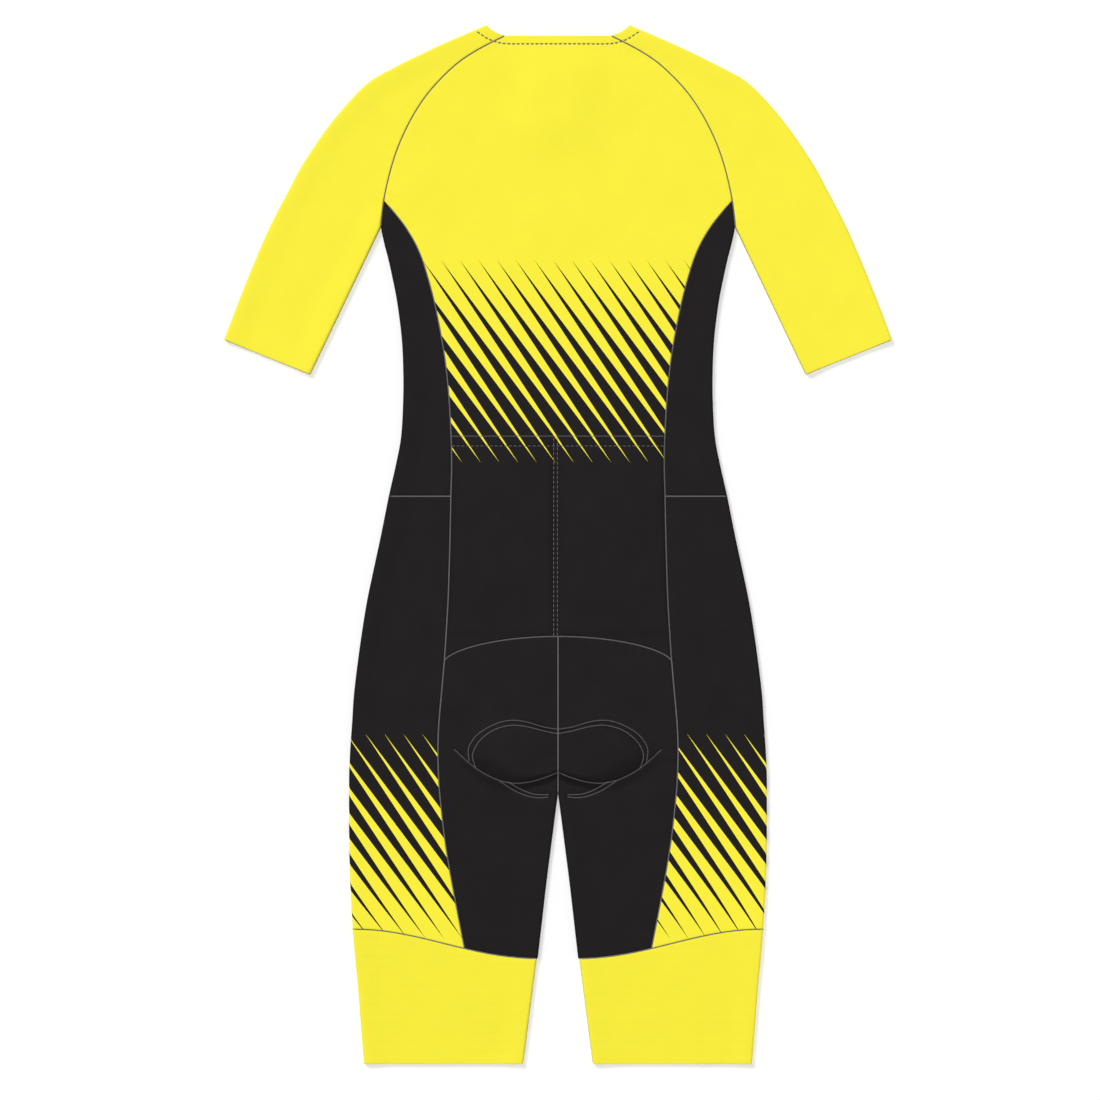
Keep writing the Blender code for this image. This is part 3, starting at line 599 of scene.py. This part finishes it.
def ladder(line, pitch, half, height, lift=0.12):
    """A zigzag of stitches over a seam."""
    total = lengths(line)[-1]
    along = np.arange(LADDER_END, total - LADDER_END, pitch)
    middle = at(line, along)
    run = at(line, np.minimum(along + 0.5, total)) - at(line, np.maximum(along - 0.5, 0.0))
    run /= np.linalg.norm(run, axis=1)[:, None]
    swing = (half * np.where(np.arange(len(along)) % 2, 1.0, -1.0))[:, None]
    ends = middle + np.column_stack([run[:, 1], -run[:, 0]]) * swing
    high = height(ends[:, 0], ends[:, 1])
    share = np.array([0.0, 0.2, 0.8, 1.0])
    rise = np.array([-LADDER_SINK, lift, lift, -LADDER_SINK])
    spots = between(ends[:-1, None], ends[1:, None], share[None, :, None])
    return np.dstack([spots, between(high[:-1, None], high[1:, None], share) + rise])


def both(line):
    """A line on the right, and its mirror image on the left."""
    return [line, line * (-1.0, 1.0)]


# ---- materials ----

class Finish:
    """A material whose nodes are added one by one."""

    def __init__(self, name, roughness, specular, metallic=0.0):
        self.material = bpy.data.materials.new(name)
        self.material.use_nodes = True
        self.tree = self.material.node_tree
        self.shader = self.tree.nodes["Principled BSDF"]
        looks = {"Roughness": roughness, "Specular IOR Level": specular, "Metallic": metallic}
        self.put(self.shader, looks)

    def put(self, node, inputs):
        for name, value in inputs.items():
            if isinstance(value, bpy.types.NodeSocket):
                self.tree.links.new(value, node.inputs[name])
            else:
                node.inputs[name].default_value = value

    def add(self, kind, inputs, **settings):
        node = self.tree.nodes.new("ShaderNode" + kind)
        for name, value in settings.items():
            setattr(node, name, value)
        self.put(node, inputs)
        return node

    def math(self, operation, first, second=0.0, third=0.0):
        return self.add("Math", {0: first, 1: second, 2: third}, operation=operation).outputs[0]

    def mix(self, share, first, second):
        return self.add("Mix", {0: share, 6: first, 7: second}, data_type="RGBA").outputs[2]

    def noise(self, where, long, detail=2.0):
        """Noise from 0 to 1 with lumps about this many millimetres long."""
        inputs = {"Vector": where, "Scale": 1 / (long * MM), "Detail": detail}
        return self.add("TexNoise", inputs).outputs[0]


def colour(value, shade=1.0):
    return tuple(channel * shade for channel in value) + (1.0,)


def cloth_finish(name, base, second=None, stripes=None, rib=0.0, knit=0.55):
    """Stretch knit: fine columns of stitches, slight mottling, and a print of tapered stripes."""
    made = Finish(name, 0.62, 0.10)
    made.put(made.shader, {"Sheen Weight": 0.05, "Sheen Roughness": 0.45})
    where = made.add("Attribute", {}, attribute_name="cut").outputs["Vector"]
    parts = made.add("SeparateXYZ", {"Vector": where})
    across, up = parts.outputs[0], parts.outputs[1]
    shade = colour(base)
    if stripes:
        down = made.math("MULTIPLY_ADD", up, -1 / MM, LENGTH / 2)
        moved = made.math("MULTIPLY_ADD", down, -SLOPE, SLOPE * stripes["at"] - stripes["x"])
        count = made.math("DIVIDE", made.math("MULTIPLY_ADD", across, 1 / MM, moved), stripes["pitch"])
        off = made.math("PINGPONG", made.math("ADD", count, 1000.0), 0.5)
        fade = stripes["full"] - stripes["start"]
        wide = made.math("DIVIDE", made.math("SUBTRACT", down, stripes["start"]), 2 * fade)
        shade = made.mix(made.math("LESS_THAN", off, wide), colour(base), colour(second))
    mottle = made.noise(where, 26.0, 3.0)
    fibre = made.noise(where, 1.3, 1.0)
    worn = made.math("ADD", made.math("MULTIPLY", mottle, 0.05), made.math("MULTIPLY", fibre, 0.07))
    tint = made.add("HueSaturation", {"Value": made.math("ADD", worn, 0.94), "Color": shade})
    rough = made.math("MULTIPLY_ADD", mottle, 0.12, 0.56)
    made.put(made.shader, {"Base Color": tint.outputs[0], "Roughness": rough})

    wale = made.math("MULTIPLY", across, 2 * math.pi / (knit * 2 * MM))
    ridge = made.math("ABSOLUTE", made.math("SINE", wale))
    bend = made.math("MULTIPLY", ridge, 2.2)
    course = made.math("MULTIPLY_ADD", up, 2 * math.pi / (knit * 1.5 * MM), bend)
    loops = made.math("MULTIPLY_ADD", made.math("SINE", course), 0.35, ridge)
    fine = made.add("Bump", {"Height": loops, "Strength": 0.35, "Distance": 0.00006})
    normal = fine.outputs[0]
    if rib:
        lines = made.math("SINE", made.math("MULTIPLY", up, 2 * math.pi / (rib * MM)))
        ribs = made.add("Bump", {"Height": lines, "Strength": 0.5, "Distance": 0.00012, "Normal": normal})
        normal = ribs.outputs[0]
    uneven = made.noise(where, 7.0, 2.0)
    soft = made.add("Bump", {"Height": uneven, "Strength": 0.35, "Distance": 0.0004, "Normal": normal})
    made.put(made.shader, {"Normal": soft.outputs[0]})
    return made.material


def plain_finish(name, base, roughness, specular, lump, depth, metallic=0.0, spread=0.25):
    """One colour with slight unevenness in shade, gloss and surface."""
    made = Finish(name, roughness, specular, metallic)
    where = made.add("TexCoord", {}).outputs["Object"]
    uneven = made.noise(where, lump, 3.0)
    made.put(made.shader, {
        "Base Color": made.mix(uneven, colour(base, 1 - spread), colour(base, 1 + spread)),
        "Roughness": made.math("MULTIPLY_ADD", uneven, 0.2, roughness - 0.1),
        "Normal": made.add("Bump", {"Height": uneven, "Strength": 0.4, "Distance": depth * MM}).outputs[0],
    })
    return made.material


yellow_cloth = cloth_finish("yellow_knit", YELLOW)
black_cloth = cloth_finish("black_knit", BLACK)
back_cloth = cloth_finish("striped_back_knit", YELLOW, BLACK, BACK_STRIPES)
hip_cloth = cloth_finish("striped_hip_knit", BLACK, YELLOW, HIP_STRIPES)
band_cloth = cloth_finish("band_knit", YELLOW, rib=0.9)
thread = plain_finish("thread", THREAD, 0.5, 0.35, 0.5, 0.05)
pad_cover = plain_finish("pad_cover", FOAM, 0.85, 0.2, 3.0, 0.3)
tape_weave = plain_finish("tape_weave", ENAMEL, 0.7, 0.3, 0.7, 0.1)
teeth_nylon = plain_finish("teeth_nylon", ENAMEL, 0.35, 0.5, 0.8, 0.02)
enamel = plain_finish("slider_enamel", ENAMEL, 0.32, 0.5, 1.5, 0.01, metallic=0.6)


# ---- back and pocket ----

def back_panel():
    raglan = RAGLAN_BACK[:TIP_ROW * FINE + 1]
    near_neck = raglan[:FINE]
    side_part = SEAM[SEAM[:, 1] <= YOKE_DOWN + 0.01]
    line = np.vstack([
        resample(near_neck, 1.2, first=True)[:-1],
        resample(raglan[FINE - 1:], STEP)[:-1],
        resample(side_part, STEP, last=True),
    ])
    edge = beside(line, -GAP / 2)
    half = edge[:, 0]
    start = np.column_stack([-half, edge[:, 1]])
    out, low, turned = strip(start, edge, round(2 * BACK_HALF / STEP), first=True, last=True)
    low = low + yoke_shift(low, np.abs(out) / half[:, None], BACK_YOKE_FADE)
    low[-1] -= GAP / 2
    return hemmed(lay((out, low, turned), True, 1), first=True)


def pocket_height(x, down):
    """Height of the pocket's outer face, which is sewn down along its sides, foot and middle."""
    edge = seam_out(np.clip(down, POCKET_TOP, YOKE_DOWN)) - GAP / 2
    foot = YOKE_DOWN - YOKE_RISE - POCKET_TOP
    low = (down - POCKET_TOP) / foot
    fullness = between(POCKET_MOUTH_BULGE, 1.0, smooth(low / POCKET_FILL))
    fullness = fullness * smooth((1 - low) / POCKET_EMPTY)
    bulge = POCKET_BULGE * np.sin(np.pi * np.clip(np.abs(x) / edge, 0.0, 1.0)) * fullness
    sides = smooth((edge - np.abs(x)) / POCKET_SIDE) * smooth((1 - low) * foot / POCKET_FOOT)
    from_rows = np.minimum.reduce([np.abs(x - row) for row in POCKET_LINES])
    free = (POCKET_FREE + bulge) * sides * (1 - np.exp(-(from_rows / POCKET_MIDDLE) ** 2))
    groove = POCKET_GROOVE[0] * np.exp(-(from_rows / POCKET_GROOVE[1]) ** 2)
    from_hem = down - POCKET_TOP - POCKET_HEM
    hem = MOUTH_GROOVE[0] * np.exp(-(from_hem / MOUTH_GROOVE[1]) ** 2)
    double = MOUTH_DOUBLE[0] * smooth(-from_hem / MOUTH_DOUBLE[1])
    lip = MOUTH_LIP[0] * np.clip(1 - (down - POCKET_TOP) / MOUTH_LIP[1], 0.0, 1.0) ** 2
    ripple = 0.12 * np.sin(x / 2.1 + 1.6 * np.sin(x / 17.0)) * np.exp(-np.abs(from_hem) / 6.0)
    return top(x, down) + GAP + WALL + free - groove - hem + double - lip + ripple * sides


def pocket_panel():
    side_part = SEAM[(SEAM[:, 1] >= POCKET_TOP) & (SEAM[:, 1] <= YOKE_DOWN + 0.01)]
    close_rows = 14.0
    line = np.vstack([side_part[:1] + (0.0, offset) for offset in np.arange(0.0, close_rows, 0.7)]
                     + [resample(side_part[side_part[:, 1] > POCKET_TOP + close_rows], STEP, last=True)])
    line[:, 0] = seam_out(line[:, 1])
    edge = beside(line, -GAP / 2)
    half = edge[:, 0]
    nominal = seam_out(POCKET_TOP)
    rows_at = np.array(POCKET_LINES)
    steps = places(2 * nominal, STEP) - nominal
    close = (rows_at[:, None] + np.array([-1.6, -1.0, -0.5, 0.0, 0.5, 1.0, 1.6])).ravel()
    steps = steps[np.min(np.abs(steps[:, None] - rows_at), axis=1) > 2.4]
    share = np.sort(np.concatenate([steps, close])) / nominal
    out = share * half[:, None]
    low = np.broadcast_to(edge[:, 1:], out.shape)
    low = low + yoke_shift(low, np.abs(share), BACK_YOKE_FADE)
    low[-1] -= GAP / 2
    return np.dstack([out, low, pocket_height(out, low)])


# ---- seat ----

last_row = BODY[-1][0]
seat_downs = np.concatenate([
    YOKE_DOWN + places(PAD_FINE[0] - YOKE_DOWN, STEP, last=False)[:-1],
    np.arange(PAD_FINE[0], PAD_FINE[1], 1.05),
    PAD_FINE[1] + places(last_row - PAD_FINE[1], STEP, first=False),
])


def seam_gap(grid, first=True, last=True):
    """Draws the first and last rows back from the seams there."""
    grid[0, :, 1] += GAP / 2 * first
    grid[-1, :, 1] -= GAP / 2 * last
    return grid


def seat(hand):
    grid = body_grid(seat_downs, seam_out(seat_downs) - GAP / 2, SEAT_COLUMNS, True, hand, yoke=True)
    return seam_gap(grid)


# ---- front ----

def front(hand):
    """From the neckline to the leg band, beside the zip and then the centre seam."""
    raglan = resample(RAGLAN_FRONT[:TIP_ROW * FINE + 1], UNDER_STEP)
    side_part = resample(SEAM[SEAM[:, 1] <= WAIST_DOWN + 0.01], UNDER_STEP)
    edge = beside(np.vstack([raglan[:-1], side_part]), -GAP / 2)
    tip = len(raglan) - 1
    inner = np.full(len(edge), ZIP_HALF + GAP)
    near = inner[:, None] + ROLL * np.arange(len(TURN)) / len(TURN)
    start = np.column_stack([inner + ROLL, edge[:, 1]])
    count = round(BACK_HALF / UNDER_STEP)
    out, low, _ = strip(start, edge, count, last=True)
    out = np.hstack([near, out])
    low = np.hstack([np.repeat(edge[:, 1:], near.shape[1], axis=1), low])
    neck = BODY[0][0] - front_neck(out[0])
    share = (BODY[0][0] - edge[:tip, 1]) / (BODY[0][0] - edge[0, 1])
    low[:tip] = BODY[0][0] - neck * share[:, None]
    upper_part = lay((out, low, np.zeros(out.shape)), False, hand)
    downs = WAIST_DOWN + places(last_row - WAIST_DOWN, UNDER_STEP)[2:]
    lower_part = body_grid(downs, seam_out(downs) - GAP / 2, count, False, hand)
    return hemmed(seam_gap(np.vstack([upper_part, lower_part]), first=False), first=True)


# ---- side and hip ----

EAR_LEAST = 0.6         # its least width


def side_panel(hand):
    """Its first rows are two ears, one on each side of the armhole."""
    armhole = resample(beside(RAGLAN_BACK[TIP_ROW * FINE:], -GAP / 2), 1.5)
    armhole = armhole[armhole[:, 1] > BODY[0][0] + TIP_CUT]
    downs = ARMPIT_DOWN + places(WAIST_DOWN - ARMPIT_DOWN, STEP, first=False)[1:]
    edge = np.vstack([armhole, np.column_stack([side(downs), downs])])
    seam = beside(resample(SEAM[SEAM[:, 1] < WAIST_DOWN + 10], 1.0), GAP / 2)
    seam = np.column_stack([np.interp(edge[:, 1], seam[:, 1], seam[:, 0]), edge[:, 1]])
    seam[:, 0] = np.minimum(seam[:, 0], edge[:, 0] - EAR_LEAST)
    dip = smooth((edge[:, 1] - ARMPIT_DOWN) / ARMPIT_DIP + 1)
    grid = wrapped_grid(seam, edge, dip, round(SIDE_WIDE / STEP), hand)
    return seam_gap(grid, first=False), len(armhole) - 1


def hip_panel(hand):
    downs = WAIST_DOWN + places(last_row - WAIST_DOWN, STEP)
    seam = np.column_stack([seam_out(downs) + GAP / 2, downs])
    edge = np.column_stack([side(downs + band_shift(downs, side(downs))), downs])
    grid = wrapped_grid(seam, edge, np.ones(len(downs)), round(HIP_WIDE / STEP), hand, bend=True)
    return seam_gap(grid)


# ---- leg band ----

def leg_band(hand):
    """A ring whose columns go on from the seat's and the hip's."""
    inner_top = inseam(band(inseam(LENGTH)))
    outer_top = side(band(side(last_row)))
    begin, finish = inner_top + ROLL, outer_top - ROLL
    columns = np.linspace(begin, finish, round(BAND_WIDE / STEP))
    part = (places(BAND_LONG, STEP) / BAND_LONG)[:, None]

    def low(out):
        return between(band(out) + GAP / 2, LENGTH, part)

    inner, outer = inseam(low(inner_top)), side(low(outer_top))
    spread = (outer - inner - 2 * ROLL) / (finish - begin)
    turn = np.radians(TURN)
    inner_roll = inner + ROLL * (1 - np.cos(turn))
    outer_roll = (outer - ROLL * (1 - np.cos(turn)))[:, ::-1]
    out = np.hstack([inner_roll, inner + ROLL + (columns - begin) * spread, outer_roll])
    turned = np.concatenate([1 - np.sin(turn), np.zeros(len(columns)), (1 - np.sin(turn))[::-1]])
    turned = np.broadcast_to(turned, out.shape)
    halves = [lay((out, low(out), turned), upper, hand) for upper in (True, False)]
    return hemmed(np.hstack([halves[0], halves[1][:, ::-1]]), last=True)


# ---- sleeve ----

ARM_TURN = np.arange(72.0, -73.0, -18.0)    # degrees round the fold along the top of the arm


def sleeve(hand):
    """From the neckline to the cuff, closed into a ring below the armpit."""
    armpit = (len(RAGLAN) - 1) * FINE
    total = len(FOLDS)
    near_neck, near_cuff = 18, 3
    chosen = np.array([
        *range(0, near_neck), *range(near_neck, armpit, 3), *range(armpit, total - near_cuff - 1, 3),
        *range(total - near_cuff, total),
    ])
    back = np.vstack([beside(RAGLAN_BACK, GAP / 2), UNDERARM[1:]])[chosen]
    front_edge = np.vstack([beside(RAGLAN_FRONT, GAP / 2), UNDERARM[1:]])[chosen]
    fold = FOLDS[chosen]
    dip = smooth((back[:, 1] - ARMPIT_DOWN) / ARMPIT_DIP + 1) * (back[:, 0] > ARMPIT_OUT)
    roll = np.full(len(chosen), ROLL)
    halves, ways = [], []
    for edge, upper in ((back, True), (front_edge, False)):
        inward = fold - edge
        wide = np.linalg.norm(inward, axis=1)[:, None]
        inward /= wide
        ways.append(inward)
        out, low, turned = join(
            rolled(edge, inward, dip, roll),
            strip(edge + inward * ROLL, fold - inward * ROLL, round(ARM_WIDE / STEP), first=True),
        )
        if upper:
            share = np.hypot(out - edge[:, :1], low - edge[:, 1:]) / wide
            curve = NECK_CURVE * np.sin(np.pi * np.clip(share, 0.0, 1.0))
            curve = curve * smooth(1 - lengths(fold)[:, None] / NECK_CURVE_FADE)
            out, low = out - curve * inward[:1, 1:], low + curve * inward[:1, :1]
        halves.append(lay((out, low, turned), upper, hand))
    turns = []
    for angle in ARM_TURN:
        way = between(ways[0], ways[1], (90.0 - angle) / 180.0)
        spot = fold - way * ROLL * (1 - math.cos(math.radians(angle)))
        high = np.full((len(chosen), 1), ROLL * (1 + math.sin(math.radians(angle))))
        turns.append(np.hstack([spot, high])[:, None])
    grid = hemmed(np.hstack([halves[0], *turns, halves[1][:, ::-1]]), first=True, last=True)
    return grid, int(np.searchsorted(chosen, armpit))


# ---- the cloth pieces ----


def add_cloth(kind, side_name, grid, hand, material, slot, **shape):
    name = kind + side_name
    piece = cloth(name, grid, hand, material, slot, **shape)


add_cloth("back_panel", "", back_panel(), 1, back_cloth, "striped_back_cloth")
add_cloth("pocket_panel", "", pocket_panel(), 1, back_cloth, "pocket_cloth")
for side_name, hand in (("_left", -1), ("_right", 1)):
    add_cloth("seat", side_name, seat(hand), hand, black_cloth, "black_cloth")
    add_cloth("front", side_name, front(hand), hand, back_cloth, "striped_back_cloth", faces_up=False)
    grid, ears = side_panel(hand)
    add_cloth("side_panel", side_name, grid, hand, black_cloth, "black_cloth",
              open_at=(ears, grid.shape[1] // 2 - 1))
    add_cloth("hip_panel", side_name, hip_panel(hand), hand, hip_cloth, "striped_hip_cloth")
    add_cloth("leg_band", side_name, leg_band(hand), hand, band_cloth, "band_cloth", ring_from=0)
    grid, armpit = sleeve(hand)
    add_cloth("sleeve", side_name, grid, hand, yellow_cloth, "yellow_cloth", ring_from=armpit)


# ---- sewing ----

SEAM_PITCH, SEAM_HALF, SEAM_THREAD = 0.9, 0.6, 0.26
NEEDLE_PITCH, NEEDLE_LONG, NEEDLE_THREAD = 2.9, 3.2, 0.33
NEEDLE_OUT, NEEDLE_LIFT = 0.36, 0.3
PAD_PITCH, PAD_HALF, PAD_THREAD = 0.85, 0.5, 0.24
UNDER_PITCH = 1.4
DASH_PITCH, DASH_LONG, DASH_THREAD = 4.9, 3.1, 0.36
TWIN_OUT = 0.38         # of each of the two threads in the neck's stitches
MOUTH_HALF = 0.45
HEM_WIDE = 8.6          # front neckline to its row of stitches
WRAP_LEAN = 22.0        # degrees that a zigzag swings up and down a fold's outermost line
WRAP_SINK, WRAP_OVER = 0.15, 0.12       # its corners go into the cloth, its middle lies over it
ROUND_OVER = 0.1        # of a zigzag that goes round a fold
UNDER_LIFT, UNDER_DASH_LIFT = -0.1, -0.5    # flatter, as the surface presses on them


def above_band(line):
    """The part of a line above the leg band."""
    return line[line[:, 1] < band(line[:, 0])]


def outer_height(x, down):
    """Height of whatever lies on top: the pocket where it is, or the back."""
    share = np.abs(x) / seam_out(down)
    inside = (share < 1) & (down > POCKET_TOP) & (down < YOKE_DOWN - yoke_rise(share))
    return np.where(inside, pocket_height(x, down), top(x, down))


def on_the_wall(line, hand):
    """A zigzag on the outermost line of a fold where two layers are sewn: points of (x, down, high)."""
    along = np.arange(0.5, lengths(line)[-1] - 0.5, UNDER_PITCH)
    spots = at(line, along)
    tilt = np.radians(WRAP_LEAN) * np.where(np.arange(len(along)) % 2, 1.0, -1.0)
    share = np.linspace(0.0, 1.0, 4)
    tilts = between(tilt[:-1, None], tilt[1:, None], share)
    reach = ROLL * (1 - np.cos(tilts)) - np.array([-WRAP_SINK, WRAP_OVER, WRAP_OVER, -WRAP_SINK])
    where = between(spots[:-1, None], spots[1:, None], share[None, :, None])
    return np.dstack([hand * (where[..., 0] + reach), where[..., 1], ROLL * (1 + np.sin(tilts))])


def round_the_fold(out, down, inward, hand):
    """A zigzag over a seam where it goes round a fold at (out, down), from the back to the front."""
    angles = np.radians(np.arange(90.0, -91.0, -20.0))
    swing = SEAM_HALF * np.where(np.arange(len(angles)) % 2, 1.0, -1.0)
    reach = ROLL * (1 - np.cos(angles)) - ROUND_OVER * np.cos(angles)
    high = ROLL + (ROLL + ROUND_OVER) * np.sin(angles)
    spots = np.column_stack([hand * (out + inward * reach), down + swing, high])
    share = np.linspace(0.0, 1.0, 4)
    return between(spots[:-1, None], spots[1:, None], share[None, :, None])


def needle_rows(line, height):
    """The two straight rows of stitches over the zigzag of a seam."""
    return [row_of_stitches(beside(line, out), NEEDLE_PITCH, NEEDLE_LONG, height, NEEDLE_LIFT)
            for out in (-NEEDLE_OUT, NEEDLE_OUT)]


def beneath(paths, radius=SEAM_THREAD):
    """Stitches on the side that lies on the surface, held off it by their own thickness."""
    return np.dstack([paths[..., :2], np.maximum(paths[..., 2], radius + 0.02)])


def front_zigzag(line):
    return beneath(ladder(line, UNDER_PITCH, SEAM_HALF, under, UNDER_LIFT))


seam_above = above_band(SEAM[6:])
band_row = np.linspace(BAND_INNER + ROLL, BAND_OUTER - ROLL, 40)
side_seams = (seam_above, np.column_stack([band_row, band(band_row)]), WAIST - ((0.0, 0.0), (ROLL, 0.0)))
back_seams, needles, front_seams = [], [], []
for hand in (-1, 1):
    mirror = (hand, 1.0)
    for line in (RAGLAN_BACK[2:], *side_seams):
        back_seams.append(ladder(line * mirror, SEAM_PITCH, SEAM_HALF, outer_height))
        needles += needle_rows(line * mirror, outer_height)
    for line in (RAGLAN_FRONT[2:], *side_seams):
        front_seams.append(front_zigzag(line * mirror))
    front_seams += [on_the_wall(LEG_INNER, hand), on_the_wall(UNDERARM, hand)]
    band_ends = (side(band(BAND_OUTER)), inseam(band(BAND_INNER)))
    for out, low, inward in ((side(WAIST_DOWN), WAIST_DOWN, -1), (band_ends[0], band(band_ends[0]), -1),
                             (band_ends[1], band(band_ends[1]), 1)):
        front_seams.append(beneath(round_the_fold(out, low, inward, hand)))
whole_yoke = np.vstack([YOKE[::-1] * (-1.0, 1.0), YOKE[1:]])
for line in (whole_yoke, CENTRE):
    back_seams.append(ladder(line, SEAM_PITCH, SEAM_HALF, outer_height))
    needles += needle_rows(line, outer_height)
front_seams.append(front_zigzag(FRONT_CENTRE))
threads("back_seam_thread", np.concatenate(back_seams), SEAM_THREAD, thread)
threads("needle_thread", np.concatenate(needles), NEEDLE_THREAD, thread)
threads("front_seam_thread", np.concatenate(front_seams), SEAM_THREAD, thread)

pad_rows = [ladder(line, PAD_PITCH, PAD_HALF, top) for row in PAD_LINES for line in both(row)]
threads("pad_thread", np.concatenate(pad_rows), PAD_THREAD, thread)

neck_row = np.vstack([NECK_HEM[::-1] * (-1.0, 1.0), NECK_HEM[1:]])
dashes = [row_of_stitches(beside(neck_row, out), DASH_PITCH, DASH_LONG, top)
          for out in (-TWIN_OUT, TWIN_OUT)]
front_out = np.linspace(ZIP_HALF + 2.0, NECK_HALF - 13.0, 30)
front_row = np.vstack([np.column_stack([front_out, front_neck(front_out)]), [(NECK_HALF, 0.0)]])
front_row = beside(resample(front_row, LINE_STEP), -HEM_WIDE)
for line in both(front_row[:-1]):
    stitches = row_of_stitches(line, DASH_PITCH, DASH_LONG, under, UNDER_DASH_LIFT)
    dashes.append(beneath(stitches, DASH_THREAD))
hem_half = seam_out(POCKET_TOP) - 1.0
hem_row = np.array([(x, POCKET_TOP + POCKET_HEM) for x in np.linspace(-hem_half, hem_half, 60)])
dashes.append(row_of_stitches(hem_row, DASH_PITCH, DASH_LONG, pocket_height))
mouth_row = hem_row - (0.0, POCKET_HEM - MOUTH_HALF - 0.1)
threads("mouth_thread", ladder(mouth_row, SEAM_PITCH, MOUTH_HALF, pocket_height), SEAM_THREAD, thread)
for x in POCKET_LINES:
    line = np.array([(x, POCKET_TOP + 2.5), (x, YOKE_DOWN - YOKE_RISE - 0.8)])
    dashes.append(row_of_stitches(line, DASH_PITCH, DASH_LONG, pocket_height))
threads("topstitching", np.concatenate(dashes), DASH_THREAD, thread, sides=6)


# ---- zip ----

TAPE_WALL = 0.5
TAPE_LIFT = 0.35        # of the tape's outer face over the fronts' outer faces
tape_downs = ZIP_TOP + places(WAIST_DOWN - GAP - ZIP_TOP, UNDER_STEP)
tape_x = np.broadcast_to(np.linspace(-ZIP_HALF, ZIP_HALF, 13), (len(tape_downs), 13))
tape_low = np.broadcast_to(tape_downs[:, None], tape_x.shape)
tape_high = under(np.zeros(tape_x.shape), tape_low) + TAPE_LIFT
cloth("front_zip", np.dstack([tape_x, tape_low, tape_high]), 1, tape_weave, "zip_tape", faces_up=False,
      wall=TAPE_WALL)

teeth = []
across, over = np.array(TOOTH).T
for hand, offset in ((-1, 0.0), (1, 0.5)):
    downs = np.arange(ZIP_TOP + 1.0 + offset * TOOTH_PITCH, WAIST_DOWN - 2.0, TOOTH_PITCH)[:, None]
    out = np.broadcast_to(hand * across, (len(downs), len(across)))
    low = np.broadcast_to(downs, out.shape)
    high = np.maximum(under(np.zeros(out.shape), low) + over, TOOTH_LOW)
    teeth.append(np.dstack([out, low, high]))
threads("zip_teeth", np.concatenate(teeth), TOOTH_RADIUS, teeth_nylon)
for name in ("zip_slider", "zip_pull"):
    for holder in bpy.data.objects[name].material_slots:
        holder.material = enamel


# ---- seat pad ----

PAD_BASE = 1.5          # height of its underside
PAD_CHANNEL = 0.9       # depth of the sewn channel inside its rim
PAD_CHANNEL_AT, PAD_CHANNEL_WIDE = 0.72, 0.05       # shares of its reach


def seat_pad():
    """A foam pad with a thinner rim, between the seat and the front."""
    around = np.radians(np.arange(0.0, 360.0, 5.0))[None, :]
    rise = np.sin(np.radians(np.linspace(-90.0, 90.0, 31)))[1:-1, None]
    flat = np.sqrt(1 - rise ** 2)
    reach = flat * pad_reach(np.degrees(np.arctan2(np.sin(around), np.abs(np.cos(around)))))
    x, down = reach * np.cos(around), PAD_DOWN - reach * np.sin(around)
    dome = smooth((DOME_EDGE - pad_share(np.abs(x), down)) / DOME_FADE)
    ceiling = LAID + PAD_RISE * dome - SOLID_WALL - PAD_CLEAR
    crown = 0.5 + 0.5 * np.sign(rise) * np.sqrt(np.abs(rise))
    channel = PAD_CHANNEL * np.exp(-((flat - PAD_CHANNEL_AT) / PAD_CHANNEL_WIDE) ** 2) * np.sign(rise)
    high = between(PAD_BASE, ceiling, crown) - channel * smooth((flat - 0.3) / 0.2)
    points = np.dstack([x, LENGTH / 2 - down, high]).reshape(-1, 3) * MM
    rows, columns = x.shape
    faces = quads(rows, columns, ring=True).reshape(-1, 4).tolist()
    faces += [list(range(columns))[::-1], [(rows - 1) * columns + corner for corner in range(columns)]]
    pad = piece_of("seat_pad_cushion", points, faces, pad_cover)
    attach(pad, "suit")
    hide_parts("seat_pad")


seat_pad()


# ---- camera, light and floor ----

CAMERA_X, CAMERA_Y, CAMERA_HIGH = -8.3, -5.6, 3182.0
LENS, SENSOR = 100.0, 36.0
SIGHT = 120.0           # metres
FLOOR_HALF = 80.0       # metres
FLOOR_LOW = 0.4         # under the surface
WORLD_STRENGTH = 0.24

camera = placed("camera", bpy.data.cameras.new("camera"))
camera.location = (CAMERA_X * MM, CAMERA_Y * MM, CAMERA_HIGH * MM)
camera.data.lens = LENS
camera.data.sensor_width = SENSOR
camera.data.clip_end = SIGHT
scene.camera = camera

floor_finish = Finish("floor", 0.9, 0.0)
floor_finish.put(floor_finish.shader, {"Base Color": colour(FLOOR)})
floor = piece_of("floor", FLOOR_HALF * np.array([(-1, -1, 0), (1, -1, 0), (1, 1, 0), (-1, 1, 0)]),
                 [(0, 1, 2, 3)], floor_finish.material, False)
floor.location.z = -FLOOR_LOW * MM

# Degrees from straight above and from the photo's top, turning left; strength; softness in degrees
LIGHTS = (("overhead", 6.0, 0.0, 1.75, 12.0), ("key", 52.0, 40.0, 1.25, 16.0))
for name, tilt, around, strength, soft in LIGHTS:
    sun = placed(name, bpy.data.lights.new(name, "SUN"))
    sun.data.energy = strength
    sun.data.angle = math.radians(soft)
    sun.rotation_euler = (math.radians(-tilt), 0.0, math.radians(around))

world = bpy.data.worlds.new("studio")
world.use_nodes = True
background = world.node_tree.nodes["Background"].inputs
background["Color"].default_value = colour((1.0, 1.0, 1.0))
background["Strength"].default_value = WORLD_STRENGTH
scene.world = world
scene.view_settings.view_transform = "Standard"
